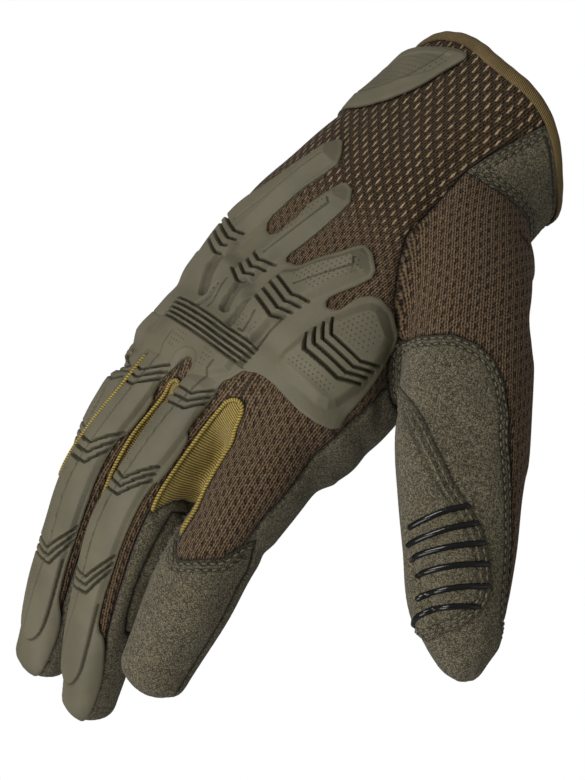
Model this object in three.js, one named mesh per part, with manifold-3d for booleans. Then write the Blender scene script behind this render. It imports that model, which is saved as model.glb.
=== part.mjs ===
// Tactical glove for the right hand, sewn from knit mesh, suede and twill, with a moulded rubber guard.
// Millimetres. The origin is the middle of the cuff opening, +Z points out of the cuff,
// +X points to the thumb side and -Y is the back of the hand.
import * as THREE from 'three';
import Module from 'manifold-3d';

const wasm = await Module();
wasm.setup();

// Thicknesses and clearances
const CLOTH = 1.6;
const GAP = 0.3;
const GUARD_THICKNESS = 2.2;
const STRIP_THICKNESS = 1.9;
const STRAP_THICKNESS = 1.8;
const TAB_THICKNESS = 2.6;
const PAD_THICKNESS = 1.3;
const GRIP_THICKNESS = 1.0;
const TAPE_LAP = 0.8;
const TAPE_HEIGHT = 7;

// How far a cutting slab reaches out of the cloth, at the thumb's root, and round the thumb
const REACH = 9;
const ROOT_REACH = 18;
const THUMB_REACH = 4;
const TIP_ZONE_REACH = 3;
// How deep the slabs that cut the finger panels and the rubber pieces go below the cloth's face
const SKIN_LOW = -5;
const SKIN_HIGH = 1.4;
const RUBBER_LOW = -4;
const RUBBER_HIGH = 6;
// The distance half way round a digit, from the middle of its back
const DIGIT_HALF_WAY = 34;

// Number of points round one section
const PALM_POINTS = 22;
const DIGIT_POINTS = 10;
const PALM_ROUNDNESS = 2.5;
const DIGIT_ROUNDNESS = 2.4;
const THUMB_ROUNDNESS = 2.2;
const WALK_STEPS = 120;
// Shares of the tip's radius at which its rounding rings lie, and how far the tip runs out
const TIP_SHARES = [0.35, 0.7, 0.95];
const TIP_REACH = 0.7;
const SMALLEST_HALF = 0.4;

// Colours of the materials
const MESH_BROWN = 0x4a3e30;
const SUEDE_GREY = 0x4e4c3c;
const RUBBER_TAN = 0x6c6552;
const TWILL_MUSTARD = 0x6e5f28;
const TAPE_BROWN = 0x5a4828;
const SILICONE_BLACK = 0x0c0c0c;

// Palm sections from the cuff edge down to the finger roots
const PALM_ROWS = [
  { z: 4, x: 1, y: 1, width: 73, depth: 50, lean: 1.0 },
  { z: -9, x: 1, y: 1, width: 74, depth: 51, lean: 0.6 },
  { z: -24, x: 0, y: 1, width: 76, depth: 52, lean: 0.2 },
  { z: -44, x: -1, y: 2, width: 83, depth: 53, lean: 0 },
  { z: -64, x: -1, y: 3, width: 91, depth: 53, lean: 0 },
  { z: -84, x: 0, y: 5, width: 95, depth: 52, lean: 0 },
  { z: -102, x: 0, y: 6, width: 94, depth: 48, lean: 0 },
  { z: -116, x: -3, y: 6, width: 89, depth: 40, lean: 0 },
  { z: -126, x: -5, y: 7, width: 80, depth: 30, lean: 0 },
];
const CUFF_EDGE = PALM_ROWS[0].z;
const PALM_END = PALM_ROWS[PALM_ROWS.length - 1].z;

// The cuff edge is higher on the back than on the palm and falls toward both sides
const CUFF_SLOPE = -0.42;
const CUFF_DROOP = 5;
const CUFF_HALF_WIDTH = 37;

// Fingers: the joints follow the root, with a bend toward the palm and a length for each phalanx
const FINGERS = {
  index: {
    root: [31, 4, -103],
    splay: -2.5,
    phalanges: [
      { bend: 0, length: 26, width: 24, depth: 34 },
      { bend: 16, length: 44, width: 25, depth: 31 },
      { bend: 24, length: 24, width: 24, depth: 26 },
      { bend: 28, length: 25, width: 24, depth: 23 },
    ],
    tip: { width: 18, depth: 15 },
  },
  middle: {
    root: [7, -2, -105],
    splay: -3,
    phalanges: [
      { bend: 0, length: 26, width: 22, depth: 30 },
      { bend: 11, length: 44, width: 23, depth: 27 },
      { bend: 31, length: 31, width: 22, depth: 25 },
      { bend: 43, length: 43, width: 22, depth: 23 },
    ],
    tip: { width: 15, depth: 15 },
  },
  ring: {
    root: [-15, -2, -106],
    splay: -8.5,
    phalanges: [
      { bend: 0, length: 26, width: 22, depth: 28 },
      { bend: 16, length: 43, width: 22, depth: 25 },
      { bend: 34, length: 32, width: 22, depth: 24 },
      { bend: 40, length: 40, width: 22, depth: 23 },
    ],
    tip: { width: 17, depth: 15 },
  },
  pinky: {
    root: [-33, 4, -99],
    splay: -9,
    phalanges: [
      { bend: 0, length: 26, width: 20, depth: 26 },
      { bend: 20, length: 38, width: 20, depth: 23 },
      { bend: 36, length: 26, width: 20, depth: 22 },
      { bend: 42, length: 32, width: 19, depth: 20 },
    ],
    tip: { width: 14, depth: 13 },
  },
};

// Thumb sections, with the width from pad to nail
const THUMB_ROWS = [
  { x: 12, y: 0, z: -12, width: 24, depth: 30 },
  { x: 27, y: 2, z: -30, width: 34, depth: 38 },
  { x: 42, y: 4, z: -46, width: 38, depth: 38 },
  { x: 54, y: 7, z: -60, width: 38, depth: 34 },
  { x: 65, y: 11, z: -73, width: 38, depth: 31 },
  { x: 74, y: 15.5, z: -84.5, width: 37.5, depth: 29 },
  { x: 81, y: 21.5, z: -95.5, width: 34.6, depth: 27 },
  { x: 88, y: 28.3, z: -106, width: 31.7, depth: 25 },
  { x: 94, y: 36, z: -116.5, width: 28, depth: 22 },
  { x: 99, y: 43, z: -124, width: 21.7, depth: 17 },
  { x: 101.5, y: 46.5, z: -127.6, width: 15.4, depth: 13 },
  { x: 103.3, y: 50.4, z: -129.8, width: 6, depth: 7 },
];
// The way that the back of the fingers faces, and the way that the thumb's flat side faces
const BACK_WAY = new THREE.Vector3(0, -1, 0);
const THUMB_SIDE = new THREE.Vector3(0.708, -0.684, -0.174).normalize();
// Inside the palm a finger turns by only a share of its splay
const ROOT_SPLAY_SHARE = 0.6;
const STEPS_A_PHALANX = 2;

// A smooth curve through a table's rows, with the same number of steps in each span
function fair(rows, steps) {
  const keys = Object.keys(rows[0]);
  const last = rows.length - 1;
  const out = [];
  for (let i = 0; i < last; i += 1) {
    const before = rows[Math.max(i - 1, 0)];
    const after = rows[Math.min(i + 2, last)];
    for (let k = 0; k < steps; k += 1) {
      const t = k / steps;
      const row = {};
      for (const key of keys) {
        row[key] = curveValue(before[key], rows[i][key], rows[i + 1][key], after[key], t);
      }
      out.push(row);
    }
  }
  out.push({ ...rows[last] });
  return out;
}

function curveValue(a, b, c, d, t) {
  const turn = 2 * b + (c - a) * t + (2 * a - 5 * b + 4 * c - d) * t * t;
  return (turn + (3 * b - a - 3 * c + d) * t * t * t) / 2;
}

// Place on a rounded box section of half sizes 1, turned by an angle from the back to the thumb side
function sectionPlace(angle, roundness) {
  const s = Math.sin(angle);
  const c = Math.cos(angle);
  const power = 2 / roundness;
  return [Math.sign(s) * Math.abs(s) ** power, Math.sign(c) * Math.abs(c) ** power];
}

// The palm tube
function palmRow(z) {
  const rows = PALM_ROWS;
  const end = rows[rows.length - 1];
  if (z >= rows[0].z) return { ...rows[0], z };
  if (z <= end.z) return { ...end, z };
  const i = rows.findIndex((row) => row.z < z);
  const t = (rows[i - 1].z - z) / (rows[i - 1].z - rows[i].z);
  const row = {};
  for (const key of Object.keys(end)) row[key] = THREE.MathUtils.lerp(rows[i - 1][key], rows[i][key], t);
  return row;
}

function cuffHeight(x, y) {
  return CUFF_SLOPE * y - CUFF_DROOP * (x / CUFF_HALF_WIDTH) ** 2;
}

function palmPlace(row, angle, height) {
  const [across, up] = sectionPlace(angle, PALM_ROUNDNESS);
  const x = row.x + across * (row.width / 2 + height);
  const y = row.y - up * (row.depth / 2 + height);
  return new THREE.Vector3(x, y, row.z + row.lean * cuffHeight(x, y));
}

function palmRing(z, grow) {
  const row = palmRow(z);
  const ring = [];
  for (let i = 0; i < PALM_POINTS; i += 1) {
    ring.push(palmPlace(row, (i / PALM_POINTS) * 2 * Math.PI, grow));
  }
  return ring;
}

function palmSolid(top, end, grow) {
  const heights = PALM_ROWS.map((row) => row.z).filter((z) => z < top - 1 && z > end + 1);
  return loft([top, ...heights, end].map((z) => palmRing(z, grow)));
}

// A place on the palm: its row, the distance round it from the middle of the back, and the height
function onPalm(z, around, height) {
  const row = palmRow(z);
  const level = { ...row, lean: 0 };
  const target = Math.abs(around);
  const turn = Math.PI / WALK_STEPS;
  let angle = 0;
  let walked = 0;
  let last = palmPlace(level, 0, 0);
  while (angle < Math.PI) {
    const next = palmPlace(level, angle + turn, 0);
    const step = next.distanceTo(last);
    if (walked + step >= target) {
      angle += ((target - walked) / step) * turn;
      break;
    }
    angle += turn;
    walked += step;
    last = next;
  }
  return palmPlace(row, Math.sign(around) * angle, height);
}

// Stations of a finger, from inside the palm to the rounded tip
function fingerStations(finger) {
  const root = new THREE.Vector3(...finger.root);
  const splay = THREE.MathUtils.degToRad(finger.splay);
  const rootSplay = splay * ROOT_SPLAY_SHARE;
  const base = new THREE.Vector3(Math.sin(rootSplay), 0, -Math.cos(rootSplay));
  const joints = [root.clone().addScaledVector(base, -finger.phalanges[0].length), root.clone()];
  const joint = root.clone();
  for (const { bend, length } of finger.phalanges.slice(1)) {
    const tilt = THREE.MathUtils.degToRad(bend);
    const way = new THREE.Vector3(
      Math.sin(splay) * Math.cos(tilt),
      Math.sin(tilt),
      -Math.cos(splay) * Math.cos(tilt),
    );
    joint.addScaledVector(way, length);
    joints.push(joint.clone());
  }
  const sizes = [...finger.phalanges, finger.tip];
  const rows = joints.map((p, i) => {
    const { width, depth } = sizes[i];
    return { x: p.x, y: p.y, z: p.z, width, depth };
  });
  const stations = withDirections(fair(rows, STEPS_A_PHALANX), BACK_WAY, false);
  const end = stations[stations.length - 1];
  const radius = Math.min(end.width, end.depth) / 2;
  for (const share of TIP_SHARES) {
    const narrow = Math.sqrt(1 - share * share);
    stations.push({
      ...end,
      middle: end.middle.clone().addScaledVector(end.way, radius * TIP_REACH * share),
      width: end.width * narrow,
      depth: end.depth * narrow,
      tip: true,
    });
  }
  return stations;
}

// Each station gets its way along the digit, its side direction and its back direction
function withDirections(rows, facing, fromPad) {
  const middles = rows.map((row) => new THREE.Vector3(row.x, row.y, row.z));
  return rows.map((row, i) => {
    const before = middles[Math.max(i - 1, 0)];
    const after = middles[Math.min(i + 1, middles.length - 1)];
    const way = after.clone().sub(before).normalize();
    const side = way.clone().cross(facing).normalize();
    if (!fromPad) side.multiplyScalar(Math.sign(side.x));
    const back = side.clone().cross(way).normalize();
    if (back.dot(facing) < 0) back.negate();
    return { middle: middles[i], way, side, back, width: row.width, depth: row.depth, tip: false };
  });
}

function thumbStations() {
  const stations = withDirections(THUMB_ROWS, THUMB_SIDE, true);
  const tipFrom = stations.length - TIP_SHARES.length;
  return stations.map((station, i) => ({ ...station, tip: i >= tipFrom }));
}

function digitPlace(station, angle, height, roundness) {
  const [across, up] = sectionPlace(angle, roundness);
  const push = station.tip ? height : 0;
  return station.middle.clone()
    .addScaledVector(station.way, push)
    .addScaledVector(station.side, across * Math.max(station.width / 2 + height, SMALLEST_HALF))
    .addScaledVector(station.back, up * Math.max(station.depth / 2 + height, SMALLEST_HALF));
}

function digitSolid(digit, grow) {
  const rings = digit.stations.map((station) => {
    const ring = [];
    for (let i = 0; i < DIGIT_POINTS; i += 1) {
      ring.push(digitPlace(station, (i / DIGIT_POINTS) * 2 * Math.PI, grow, digit.roundness));
    }
    return ring;
  });
  return loft(rings);
}

// A place on a digit: the distance along it, the share of half way round from the back, the height
function onDigit(digit, along, around, height) {
  const { stations, roundness } = digit;
  let walked = 0;
  for (let i = 1; i < stations.length; i += 1) {
    const step = stations[i].middle.distanceTo(stations[i - 1].middle);
    if (walked + step >= along || i === stations.length - 1) {
      const t = (along - walked) / step;
      const a = digitPlace(stations[i - 1], around * Math.PI, height, roundness);
      const b = digitPlace(stations[i], around * Math.PI, height, roundness);
      return a.lerp(b, t);
    }
    walked += step;
  }
  return stations[0].middle.clone();
}

const digits = {};
for (const [name, finger] of Object.entries(FINGERS)) {
  digits[name] = { stations: fingerStations(finger), roundness: DIGIT_ROUNDNESS };
}
digits.thumb = { stations: thumbStations(), roundness: THUMB_ROUNDNESS };

// Closed solids from points and faces
function solidFrom(points, faces) {
  const vertProperties = new Float32Array(points.flatMap((p) => [p.x, p.y, p.z]));
  const triVerts = new Uint32Array(faces.flat());
  const solid = new wasm.Manifold(new wasm.Mesh({ numProp: 3, vertProperties, triVerts }));
  if (solid.volume() > 0) return solid;
  const turned = new Uint32Array(faces.flatMap(([a, b, c]) => [a, c, b]));
  return new wasm.Manifold(new wasm.Mesh({ numProp: 3, vertProperties, triVerts: turned }));
}

// A solid skinned over a row of closed rings
function loft(rings) {
  const count = rings[0].length;
  const points = rings.flat();
  const faces = [];
  for (let i = 0; i + 1 < rings.length; i += 1) {
    for (let j = 0; j < count; j += 1) {
      const a = i * count + j;
      const b = i * count + ((j + 1) % count);
      faces.push([a, b, b + count], [a, b + count, a + count]);
    }
  }
  for (const [ring, flip] of [[0, true], [rings.length - 1, false]]) {
    const middle = new THREE.Vector3();
    for (const p of rings[ring]) middle.addScaledVector(p, 1 / count);
    points.push(middle);
    for (let j = 0; j < count; j += 1) {
      const a = ring * count + j;
      const b = ring * count + ((j + 1) % count);
      faces.push(flip ? [points.length - 1, b, a] : [points.length - 1, a, b]);
    }
  }
  return solidFrom(points, faces);
}

// A slab that follows a curved surface between two heights, with one row for each line across it
function patch(surface, rows, low, high, across) {
  const points = [];
  for (const height of [low, high]) {
    for (const row of rows) {
      for (let j = 0; j <= across; j += 1) {
        points.push(surface(row.along, THREE.MathUtils.lerp(row.from, row.to, j / across), height));
      }
    }
  }
  const wide = across + 1;
  const layer = rows.length * wide;
  const faces = [];
  const quad = (a, b, c, d) => faces.push([a, b, c], [a, c, d]);
  for (let i = 0; i + 1 < rows.length; i += 1) {
    for (let j = 0; j < across; j += 1) {
      const a = i * wide + j;
      quad(a, a + 1, a + 1 + wide, a + wide);
      quad(a + layer, a + layer + wide, a + layer + wide + 1, a + layer + 1);
    }
    const left = i * wide;
    const right = left + across;
    quad(left, left + wide, left + wide + layer, left + layer);
    quad(right, right + layer, right + layer + wide, right + wide);
  }
  for (let j = 0; j < across; j += 1) {
    const end = (rows.length - 1) * wide + j;
    quad(j, j + layer, j + layer + 1, j + 1);
    quad(end, end + 1, end + 1 + layer, end + layer);
  }
  return solidFrom(points, faces);
}

function palmPatch(rows, loose = 0, { low = -REACH, high = REACH, across = 8 } = {}) {
  return patch(onPalm, loosen(rows, loose, loose), low, high, across);
}

function digitPatch(digit, rows, loose = 0, { low = -REACH, high = REACH, across = 6 } = {}) {
  const surface = (along, around, height) => onDigit(digit, along, around, height);
  return patch(surface, loosen(rows, -loose, loose / DIGIT_HALF_WAY), low, high, across);
}

function skinPatch(digit, rows, loose) {
  return digitPatch(digit, rows, loose, { low: SKIN_LOW - loose, high: SKIN_HIGH + loose });
}

// The same rows with their ends moved out by one amount and their sides by another
function loosen(rows, ends, sides) {
  const last = rows.length - 1;
  return rows.map((row, i) => {
    const move = i === 0 ? ends : i === last ? -ends : 0;
    return { along: row.along + move, from: row.from - sides, to: row.to + sides };
  });
}

function join(solids) {
  return solids.reduce((whole, solid) => whole.add(solid));
}

// The glove's outer form, grown or shrunk by an amount
function handForm(grow, top = CUFF_EDGE) {
  const end = PALM_END - grow;
  return join([palmSolid(top, end, grow), ...Object.values(digits).map((digit) => digitSolid(digit, grow))]);
}

// The hollow runs out past the cuff edge
const OPEN_TOP = CUFF_EDGE + 14;
const outerForm = handForm(0);
const hollow = handForm(-CLOTH, OPEN_TOP);
const cuffSlab = palmSolid(OPEN_TOP, CUFF_EDGE - TAPE_HEIGHT, CLOTH);
const clothShell = outerForm.subtract(hollow).subtract(cuffSlab);
const coveredForm = handForm(GAP, OPEN_TOP);

// Regions of the glove, each a slab that the cloth is cut with
const THUMB_ZONE = [
  { along: -22, from: 31, to: 54 },
  { along: -38, from: 31, to: 70 },
  { along: -50, from: 32, to: 76 },
  { along: -57, from: 36, to: 78 },
  { along: -66, from: 44, to: 77 },
  { along: -72, from: 50, to: 74 },
  { along: -77, from: 55, to: 68 },
];

function thumbZone(loose) {
  const stations = digits.thumb.stations.slice(1);
  const tube = digitSolid({ stations, roundness: THUMB_ROUNDNESS }, THUMB_REACH + loose);
  return tube.add(palmPatch(THUMB_ZONE, loose, { high: ROOT_REACH }));
}

const GUSSET = [
  { along: CUFF_EDGE + 6, from: 36, to: 64 },
  { along: -12, from: 33.5, to: 65 },
  { along: -24, from: 29, to: 66 },
];

const BACK_PANEL = [
  { along: OPEN_TOP, from: -58, to: 60 },
  { along: -44, from: -63, to: 58 },
  { along: -84, from: -66, to: 56 },
  { along: -112, from: -62, to: 52 },
  { along: PALM_END - 3, from: -44, to: 42 },
];
// Shares round each finger that the mesh back and the twill side strips cover
const FINGER_PANELS = {
  index: { back: [-0.14, 0.48], twillEnd: 80 },
  middle: { back: [-0.3, 0.3], twillEnd: 82 },
  ring: { back: [-0.3, 0.3], twillEnd: 86 },
  pinky: { back: [-0.42, 0.3], twillEnd: 74 },
};
const BACK_FROM = 8;
const BACK_SHORT_OF_TIP = 9;
const TWILL_FROM = 24;
const TWILL_OUTER = 0.78;
const CAP_LENGTH = 42;
const CAP_SHORT_OF_TIP = 4;
// The web that joins the walls of two fingers
const WEB = { width: 4, depth: 20, height: 9, forward: 12, side: 0.35, inward: 9 };
const FOURCHETTES = {
  fourchette_index: ['index', 'middle'],
  fourchette_middle: ['middle', 'ring'],
  fourchette_ring: ['ring', 'pinky'],
};

function digitLength(digit) {
  let length = 0;
  for (let i = 1; i < digit.stations.length; i += 1) {
    length += digit.stations[i].middle.distanceTo(digit.stations[i - 1].middle);
  }
  return length;
}

// Rows at even steps along a digit, between two shares round it
function evenRows(from, to, left, right, steps = 5) {
  const rows = [];
  for (let i = 0; i <= steps; i += 1) {
    rows.push({ along: THREE.MathUtils.lerp(from, to, i / steps), from: left, to: right });
  }
  return rows;
}

// The strip between two fingers: one wall of each, and the web that joins them at the root
function fourchetteZone([thumbward, outward], loose) {
  const near = digits[thumbward];
  const far = digits[outward];
  const nearPanel = FINGER_PANELS[thumbward];
  const farPanel = FINGER_PANELS[outward];
  const nearRows = evenRows(TWILL_FROM, nearPanel.twillEnd, -TWILL_OUTER, nearPanel.back[0]);
  const farRows = evenRows(TWILL_FROM, farPanel.twillEnd, farPanel.back[1], TWILL_OUTER);
  const webLeft = onDigit(far, TWILL_FROM + WEB.forward, WEB.side, 0);
  const webRight = onDigit(near, TWILL_FROM + WEB.forward, -WEB.side, 0);
  const middle = webLeft.clone().add(webRight).multiplyScalar(0.5);
  const size = [Math.max(webRight.x - webLeft.x, WEB.width), WEB.depth, WEB.height];
  const web = new THREE.BoxGeometry(...size.map((length) => length + 2 * loose));
  web.translate(middle.x, middle.y + WEB.inward, PALM_END);
  return join([skinPatch(near, nearRows, loose), skinPatch(far, farRows, loose), boxSolid(web)]);
}

function boxSolid(geometry) {
  const corners = [];
  const faces = [];
  const position = geometry.getAttribute('position');
  const numbers = [];
  for (let i = 0; i < position.count; i += 1) {
    const p = new THREE.Vector3().fromBufferAttribute(position, i);
    let found = corners.findIndex((corner) => corner.equals(p));
    if (found < 0) found = corners.push(p) - 1;
    numbers.push(found);
  }
  const index = geometry.getIndex().array;
  for (let i = 0; i < index.length; i += 3) {
    faces.push([numbers[index[i]], numbers[index[i + 1]], numbers[index[i + 2]]]);
  }
  return solidFrom(corners, faces);
}

function backZone(loose) {
  const fingers = Object.keys(FINGERS).map((name) => {
    const digit = digits[name];
    const [left, right] = FINGER_PANELS[name].back;
    const end = digitLength(digit) - BACK_SHORT_OF_TIP;
    return skinPatch(digit, evenRows(BACK_FROM, end, left, right), loose);
  });
  return join([palmPatch(BACK_PANEL, loose, { across: 8 }), ...fingers]);
}

// All round the end of a digit
function tipZone(digit, count, loose) {
  const [first, ...rest] = digit.stations.slice(-count);
  const middle = first.middle.clone().addScaledVector(first.way, -loose);
  const stations = [{ ...first, middle, tip: false }, ...rest];
  return digitSolid({ stations, roundness: digit.roundness }, TIP_ZONE_REACH + loose);
}

// Cut the cloth panels one after another, each leaving a gap to what is left
const panels = {};
let cloth = clothShell;

function cutPanel(name, zone) {
  panels[name] = cloth.intersect(zone(0));
  cloth = cloth.subtract(zone(GAP));
}

// The suede on the thumb's pad side and tip
const THUMB_FRONT = { from: 68, past: 3, side: -0.22, far: 1.0, low: -7, high: 6 };
const TIP_STATIONS = 4;

function thumbFront(loose) {
  const { from, past, side, far, low, high } = THUMB_FRONT;
  const rows = evenRows(from, digitLength(digits.thumb) + past, side, far, 6);
  const front = digitPatch(digits.thumb, rows, loose, { low, high, across: 10 });
  return front.add(tipZone(digits.thumb, TIP_STATIONS, loose));
}

cutPanel('wrist_gusset', (loose) => palmPatch(GUSSET, loose, { high: ROOT_REACH }));

const thumbCloth = cloth.intersect(thumbZone(0));
cloth = cloth.subtract(thumbZone(GAP));
panels.thumb_suede = thumbCloth.intersect(thumbFront(0));
panels.thumb_mesh = thumbCloth.subtract(thumbFront(GAP));
for (const [name, pair] of Object.entries(FOURCHETTES)) {
  cutPanel(name, (loose) => fourchetteZone(pair, loose));
}

function capZone(loose) {
  const length = digitLength(digits.index);
  const [left, right] = FINGER_PANELS.index.back;
  const rows = evenRows(length - CAP_LENGTH, length - CAP_SHORT_OF_TIP, left, right, 3);
  return skinPatch(digits.index, rows, loose).add(tipZone(digits.index, TIP_STATIONS, loose));
}

cutPanel('index_cap', capZone);
cutPanel('back_mesh', backZone);
panels.palm_suede = cloth;

// The tape folded over the cuff edge
function cuffBinding() {
  const outside = palmSolid(CUFF_EDGE + TAPE_LAP, CUFF_EDGE - TAPE_HEIGHT + GAP, TAPE_LAP);
  const inside = palmSolid(OPEN_TOP, CUFF_EDGE - 2 * TAPE_HEIGHT, -CLOTH - TAPE_LAP);
  return outside.subtract(inside);
}

// The moulded guard: four bars toward the wrist, and the plate over the knuckles
const GUARD_BARS = {
  pinky: [
    { along: -37, from: -18, to: -11 },
    { along: -42, from: -24, to: -6 },
    { along: -47, from: -27, to: -2.5 },
    { along: -57, from: -31, to: -6 },
    { along: -70, from: -37, to: -11.5 },
    { along: -84, from: -42, to: -9 },
  ],
  ring: [
    { along: -46.5, from: 2.5, to: 6 },
    { along: -53, from: 0, to: 11 },
    { along: -64, from: -3, to: 8.5 },
    { along: -74, from: -6, to: 2.6 },
    { along: -84, from: -10, to: 2.6 },
  ],
  middle: [
    { along: -59, from: 23, to: 27 },
    { along: -65, from: 19, to: 34 },
    { along: -74, from: 10, to: 28.5 },
    { along: -79, from: 5, to: 25.5 },
    { along: -84, from: 2, to: 22 },
  ],
  index: [
    { along: -69, from: 39, to: 44.5 },
    { along: -72, from: 36.5, to: 50 },
    { along: -76, from: 33.5, to: 53 },
    { along: -82, from: 30.5, to: 54 },
    { along: -90, from: 20, to: 53.5 },
  ],
};
const GUARD_PLATE = [
  { along: -78, from: -40, to: -12 },
  { along: -82, from: -41, to: 4 },
  { along: -86, from: -42, to: 21 },
  { along: -90, from: -43, to: 53.5 },
  { along: -97, from: -44, to: 52.5 },
  { along: -104, from: -44, to: 51 },
  { along: -108, from: -44, to: 32 },
  { along: -113, from: -43, to: 18 },
];
// The rubber strip on the back of a finger
const STRIP = { from: 35, shortOfTip: 5, half: 0.26 };

function knuckleGuard() {
  const shell = handForm(GAP + GUARD_THICKNESS, OPEN_TOP).subtract(coveredForm);
  const bars = Object.values(GUARD_BARS).map((rows) => palmPatch(rows, 0, { low: RUBBER_LOW }));
  return shell.intersect(join([palmPatch(GUARD_PLATE, 0, { low: RUBBER_LOW, across: 10 }), ...bars]));
}

function fingerGuard(name, guard) {
  const digit = digits[name];
  const shell = digitSolid(digit, GAP + STRIP_THICKNESS).subtract(coveredForm);
  const rows = evenRows(STRIP.from, digitLength(digit) - STRIP.shortOfTip, -STRIP.half, STRIP.half, 6);
  const strip = shell.intersect(digitPatch(digit, rows, 0, { low: RUBBER_LOW - 1, high: RUBBER_HIGH }));
  return strip.subtract(palmPatch(GUARD_PLATE, GAP, { low: RUBBER_LOW - 2, across: 10 })).subtract(guard);
}

// The closure strap round the little finger side of the wrist, and its moulded tab on the back
const STRAP = [
  { along: -5, from: -98, to: -30 },
  { along: -15, from: -98, to: -30 },
  { along: -26, from: -96, to: -30 },
];
const TAB = [
  { along: -4.6, from: -29.6, to: -3 },
  { along: -10, from: -29.6, to: -6 },
  { along: -16, from: -29.6, to: -10.5 },
  { along: -21, from: -29.6, to: -19.5 },
  { along: -24, from: -29.6, to: -25 },
];

const WRIST_END = -40;

function wristPiece(rows, thickness) {
  const outside = palmSolid(CUFF_EDGE, WRIST_END, GAP + thickness);
  const shell = outside.subtract(palmSolid(OPEN_TOP, 2 * WRIST_END, GAP));
  return shell.intersect(palmPatch(rows, 0, { low: RUBBER_LOW, across: 6 }));
}

// The second layer on the thumb and the silicone bars on it
const THUMB_PAD = [
  { along: 82, from: 0.42, to: 0.62 },
  { along: 94, from: 0.24, to: 0.72 },
  { along: 108, from: 0.08, to: 0.76 },
  { along: 121, from: -0.07, to: 0.78 },
  { along: 136, from: -0.14, to: 0.78 },
  { along: 144, from: -0.06, to: 0.72 },
  { along: 149, from: 0.08, to: 0.62 },
];
const THUMB_GRIPS = [
  { along: 119, from: 0.04, to: 0.42 },
  { along: 124, from: -0.02, to: 0.44 },
  { along: 129, from: -0.06, to: 0.46 },
  { along: 134, from: -0.07, to: 0.42 },
  { along: 139, from: -0.06, to: 0.4 },
  { along: 143.5, from: -0.02, to: 0.3 },
];
const GRIP_WIDTH = 1.8;

function thumbLayer(rows, low, thickness, across) {
  const shell = digitSolid(digits.thumb, low + thickness).subtract(digitSolid(digits.thumb, low));
  return shell.intersect(digitPatch(digits.thumb, rows, 0, { low: RUBBER_LOW, high: RUBBER_HIGH, across }));
}

function thumbGrip({ along, from, to }) {
  const rows = evenRows(along - GRIP_WIDTH / 2, along + GRIP_WIDTH / 2, from, to, 1);
  return thumbLayer(rows, GAP + PAD_THICKNESS + GAP, GRIP_THICKNESS, 2);
}

// Named meshes
const glove = new THREE.Group();

function addPiece(name, solid, colour, roughness) {
  const mesh = solid.getMesh();
  const geometry = new THREE.BufferGeometry();
  const stride = mesh.numProp;
  const positions = new Float32Array((mesh.vertProperties.length / stride) * 3);
  for (let i = 0; i < positions.length / 3; i += 1) {
    for (let k = 0; k < 3; k += 1) positions[i * 3 + k] = mesh.vertProperties[i * stride + k];
  }
  geometry.setAttribute('position', new THREE.BufferAttribute(positions, 3));
  geometry.setIndex(new THREE.BufferAttribute(new Uint32Array(mesh.triVerts), 1));
  geometry.computeVertexNormals();
  const material = new THREE.MeshStandardMaterial({ color: colour, roughness, metalness: 0 });
  const piece = new THREE.Mesh(geometry, material);
  piece.name = name;
  glove.add(piece);
}

addPiece('back_mesh', panels.back_mesh, MESH_BROWN, 0.9);
addPiece('palm_suede', panels.palm_suede, SUEDE_GREY, 0.95);
addPiece('wrist_gusset', panels.wrist_gusset, SUEDE_GREY, 0.95);
addPiece('index_cap', panels.index_cap, SUEDE_GREY, 0.95);
for (const name of Object.keys(FOURCHETTES)) addPiece(name, panels[name], TWILL_MUSTARD, 0.85);
addPiece('thumb_mesh', panels.thumb_mesh, MESH_BROWN, 0.9);
addPiece('thumb_suede', panels.thumb_suede, SUEDE_GREY, 0.95);
addPiece('thumb_pad', thumbLayer(THUMB_PAD, GAP, PAD_THICKNESS, 6), SUEDE_GREY, 0.95);
THUMB_GRIPS.forEach((row, i) => addPiece(`thumb_grip_${i + 1}`, thumbGrip(row), SILICONE_BLACK, 0.2));
addPiece('cuff_binding', cuffBinding(), TAPE_BROWN, 0.85);
const guard = knuckleGuard();
addPiece('knuckle_guard', guard, RUBBER_TAN, 0.6);
for (const name of ['middle', 'ring', 'pinky']) {
  addPiece(`finger_guard_${name}`, fingerGuard(name, guard), RUBBER_TAN, 0.6);
}
addPiece('wrist_strap', wristPiece(STRAP, STRAP_THICKNESS), SUEDE_GREY, 0.9);
addPiece('strap_tab', wristPiece(TAB, TAB_THICKNESS), RUBBER_TAN, 0.6);

export default glove;
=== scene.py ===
"""Looks of the tactical glove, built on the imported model.

Tables and charts are in millimetres and objects in metres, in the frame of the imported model: the origin is
the middle of the cuff opening, +Z points out of the cuff, +X to the thumb side, and -Y to the back.
"""

from math import cos, pi, radians, sin

import bpy
import numpy as np
from mathutils import Matrix, Vector
from mathutils.kdtree import KDTree


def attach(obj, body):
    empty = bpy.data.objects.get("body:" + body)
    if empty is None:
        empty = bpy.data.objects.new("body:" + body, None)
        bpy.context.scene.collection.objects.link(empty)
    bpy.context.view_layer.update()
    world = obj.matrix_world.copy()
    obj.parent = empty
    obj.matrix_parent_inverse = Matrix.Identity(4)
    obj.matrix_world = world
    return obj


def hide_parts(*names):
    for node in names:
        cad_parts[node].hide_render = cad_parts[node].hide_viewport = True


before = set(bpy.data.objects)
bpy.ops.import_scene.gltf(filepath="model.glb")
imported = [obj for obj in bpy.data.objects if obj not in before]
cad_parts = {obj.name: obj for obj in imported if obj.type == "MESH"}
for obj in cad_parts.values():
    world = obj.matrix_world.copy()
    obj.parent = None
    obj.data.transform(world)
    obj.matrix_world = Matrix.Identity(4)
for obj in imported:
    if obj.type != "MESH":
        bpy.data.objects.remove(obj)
bpy.ops.object.select_all(action="DESELECT")
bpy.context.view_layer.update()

MM = 0.001

# The hand's form

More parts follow.
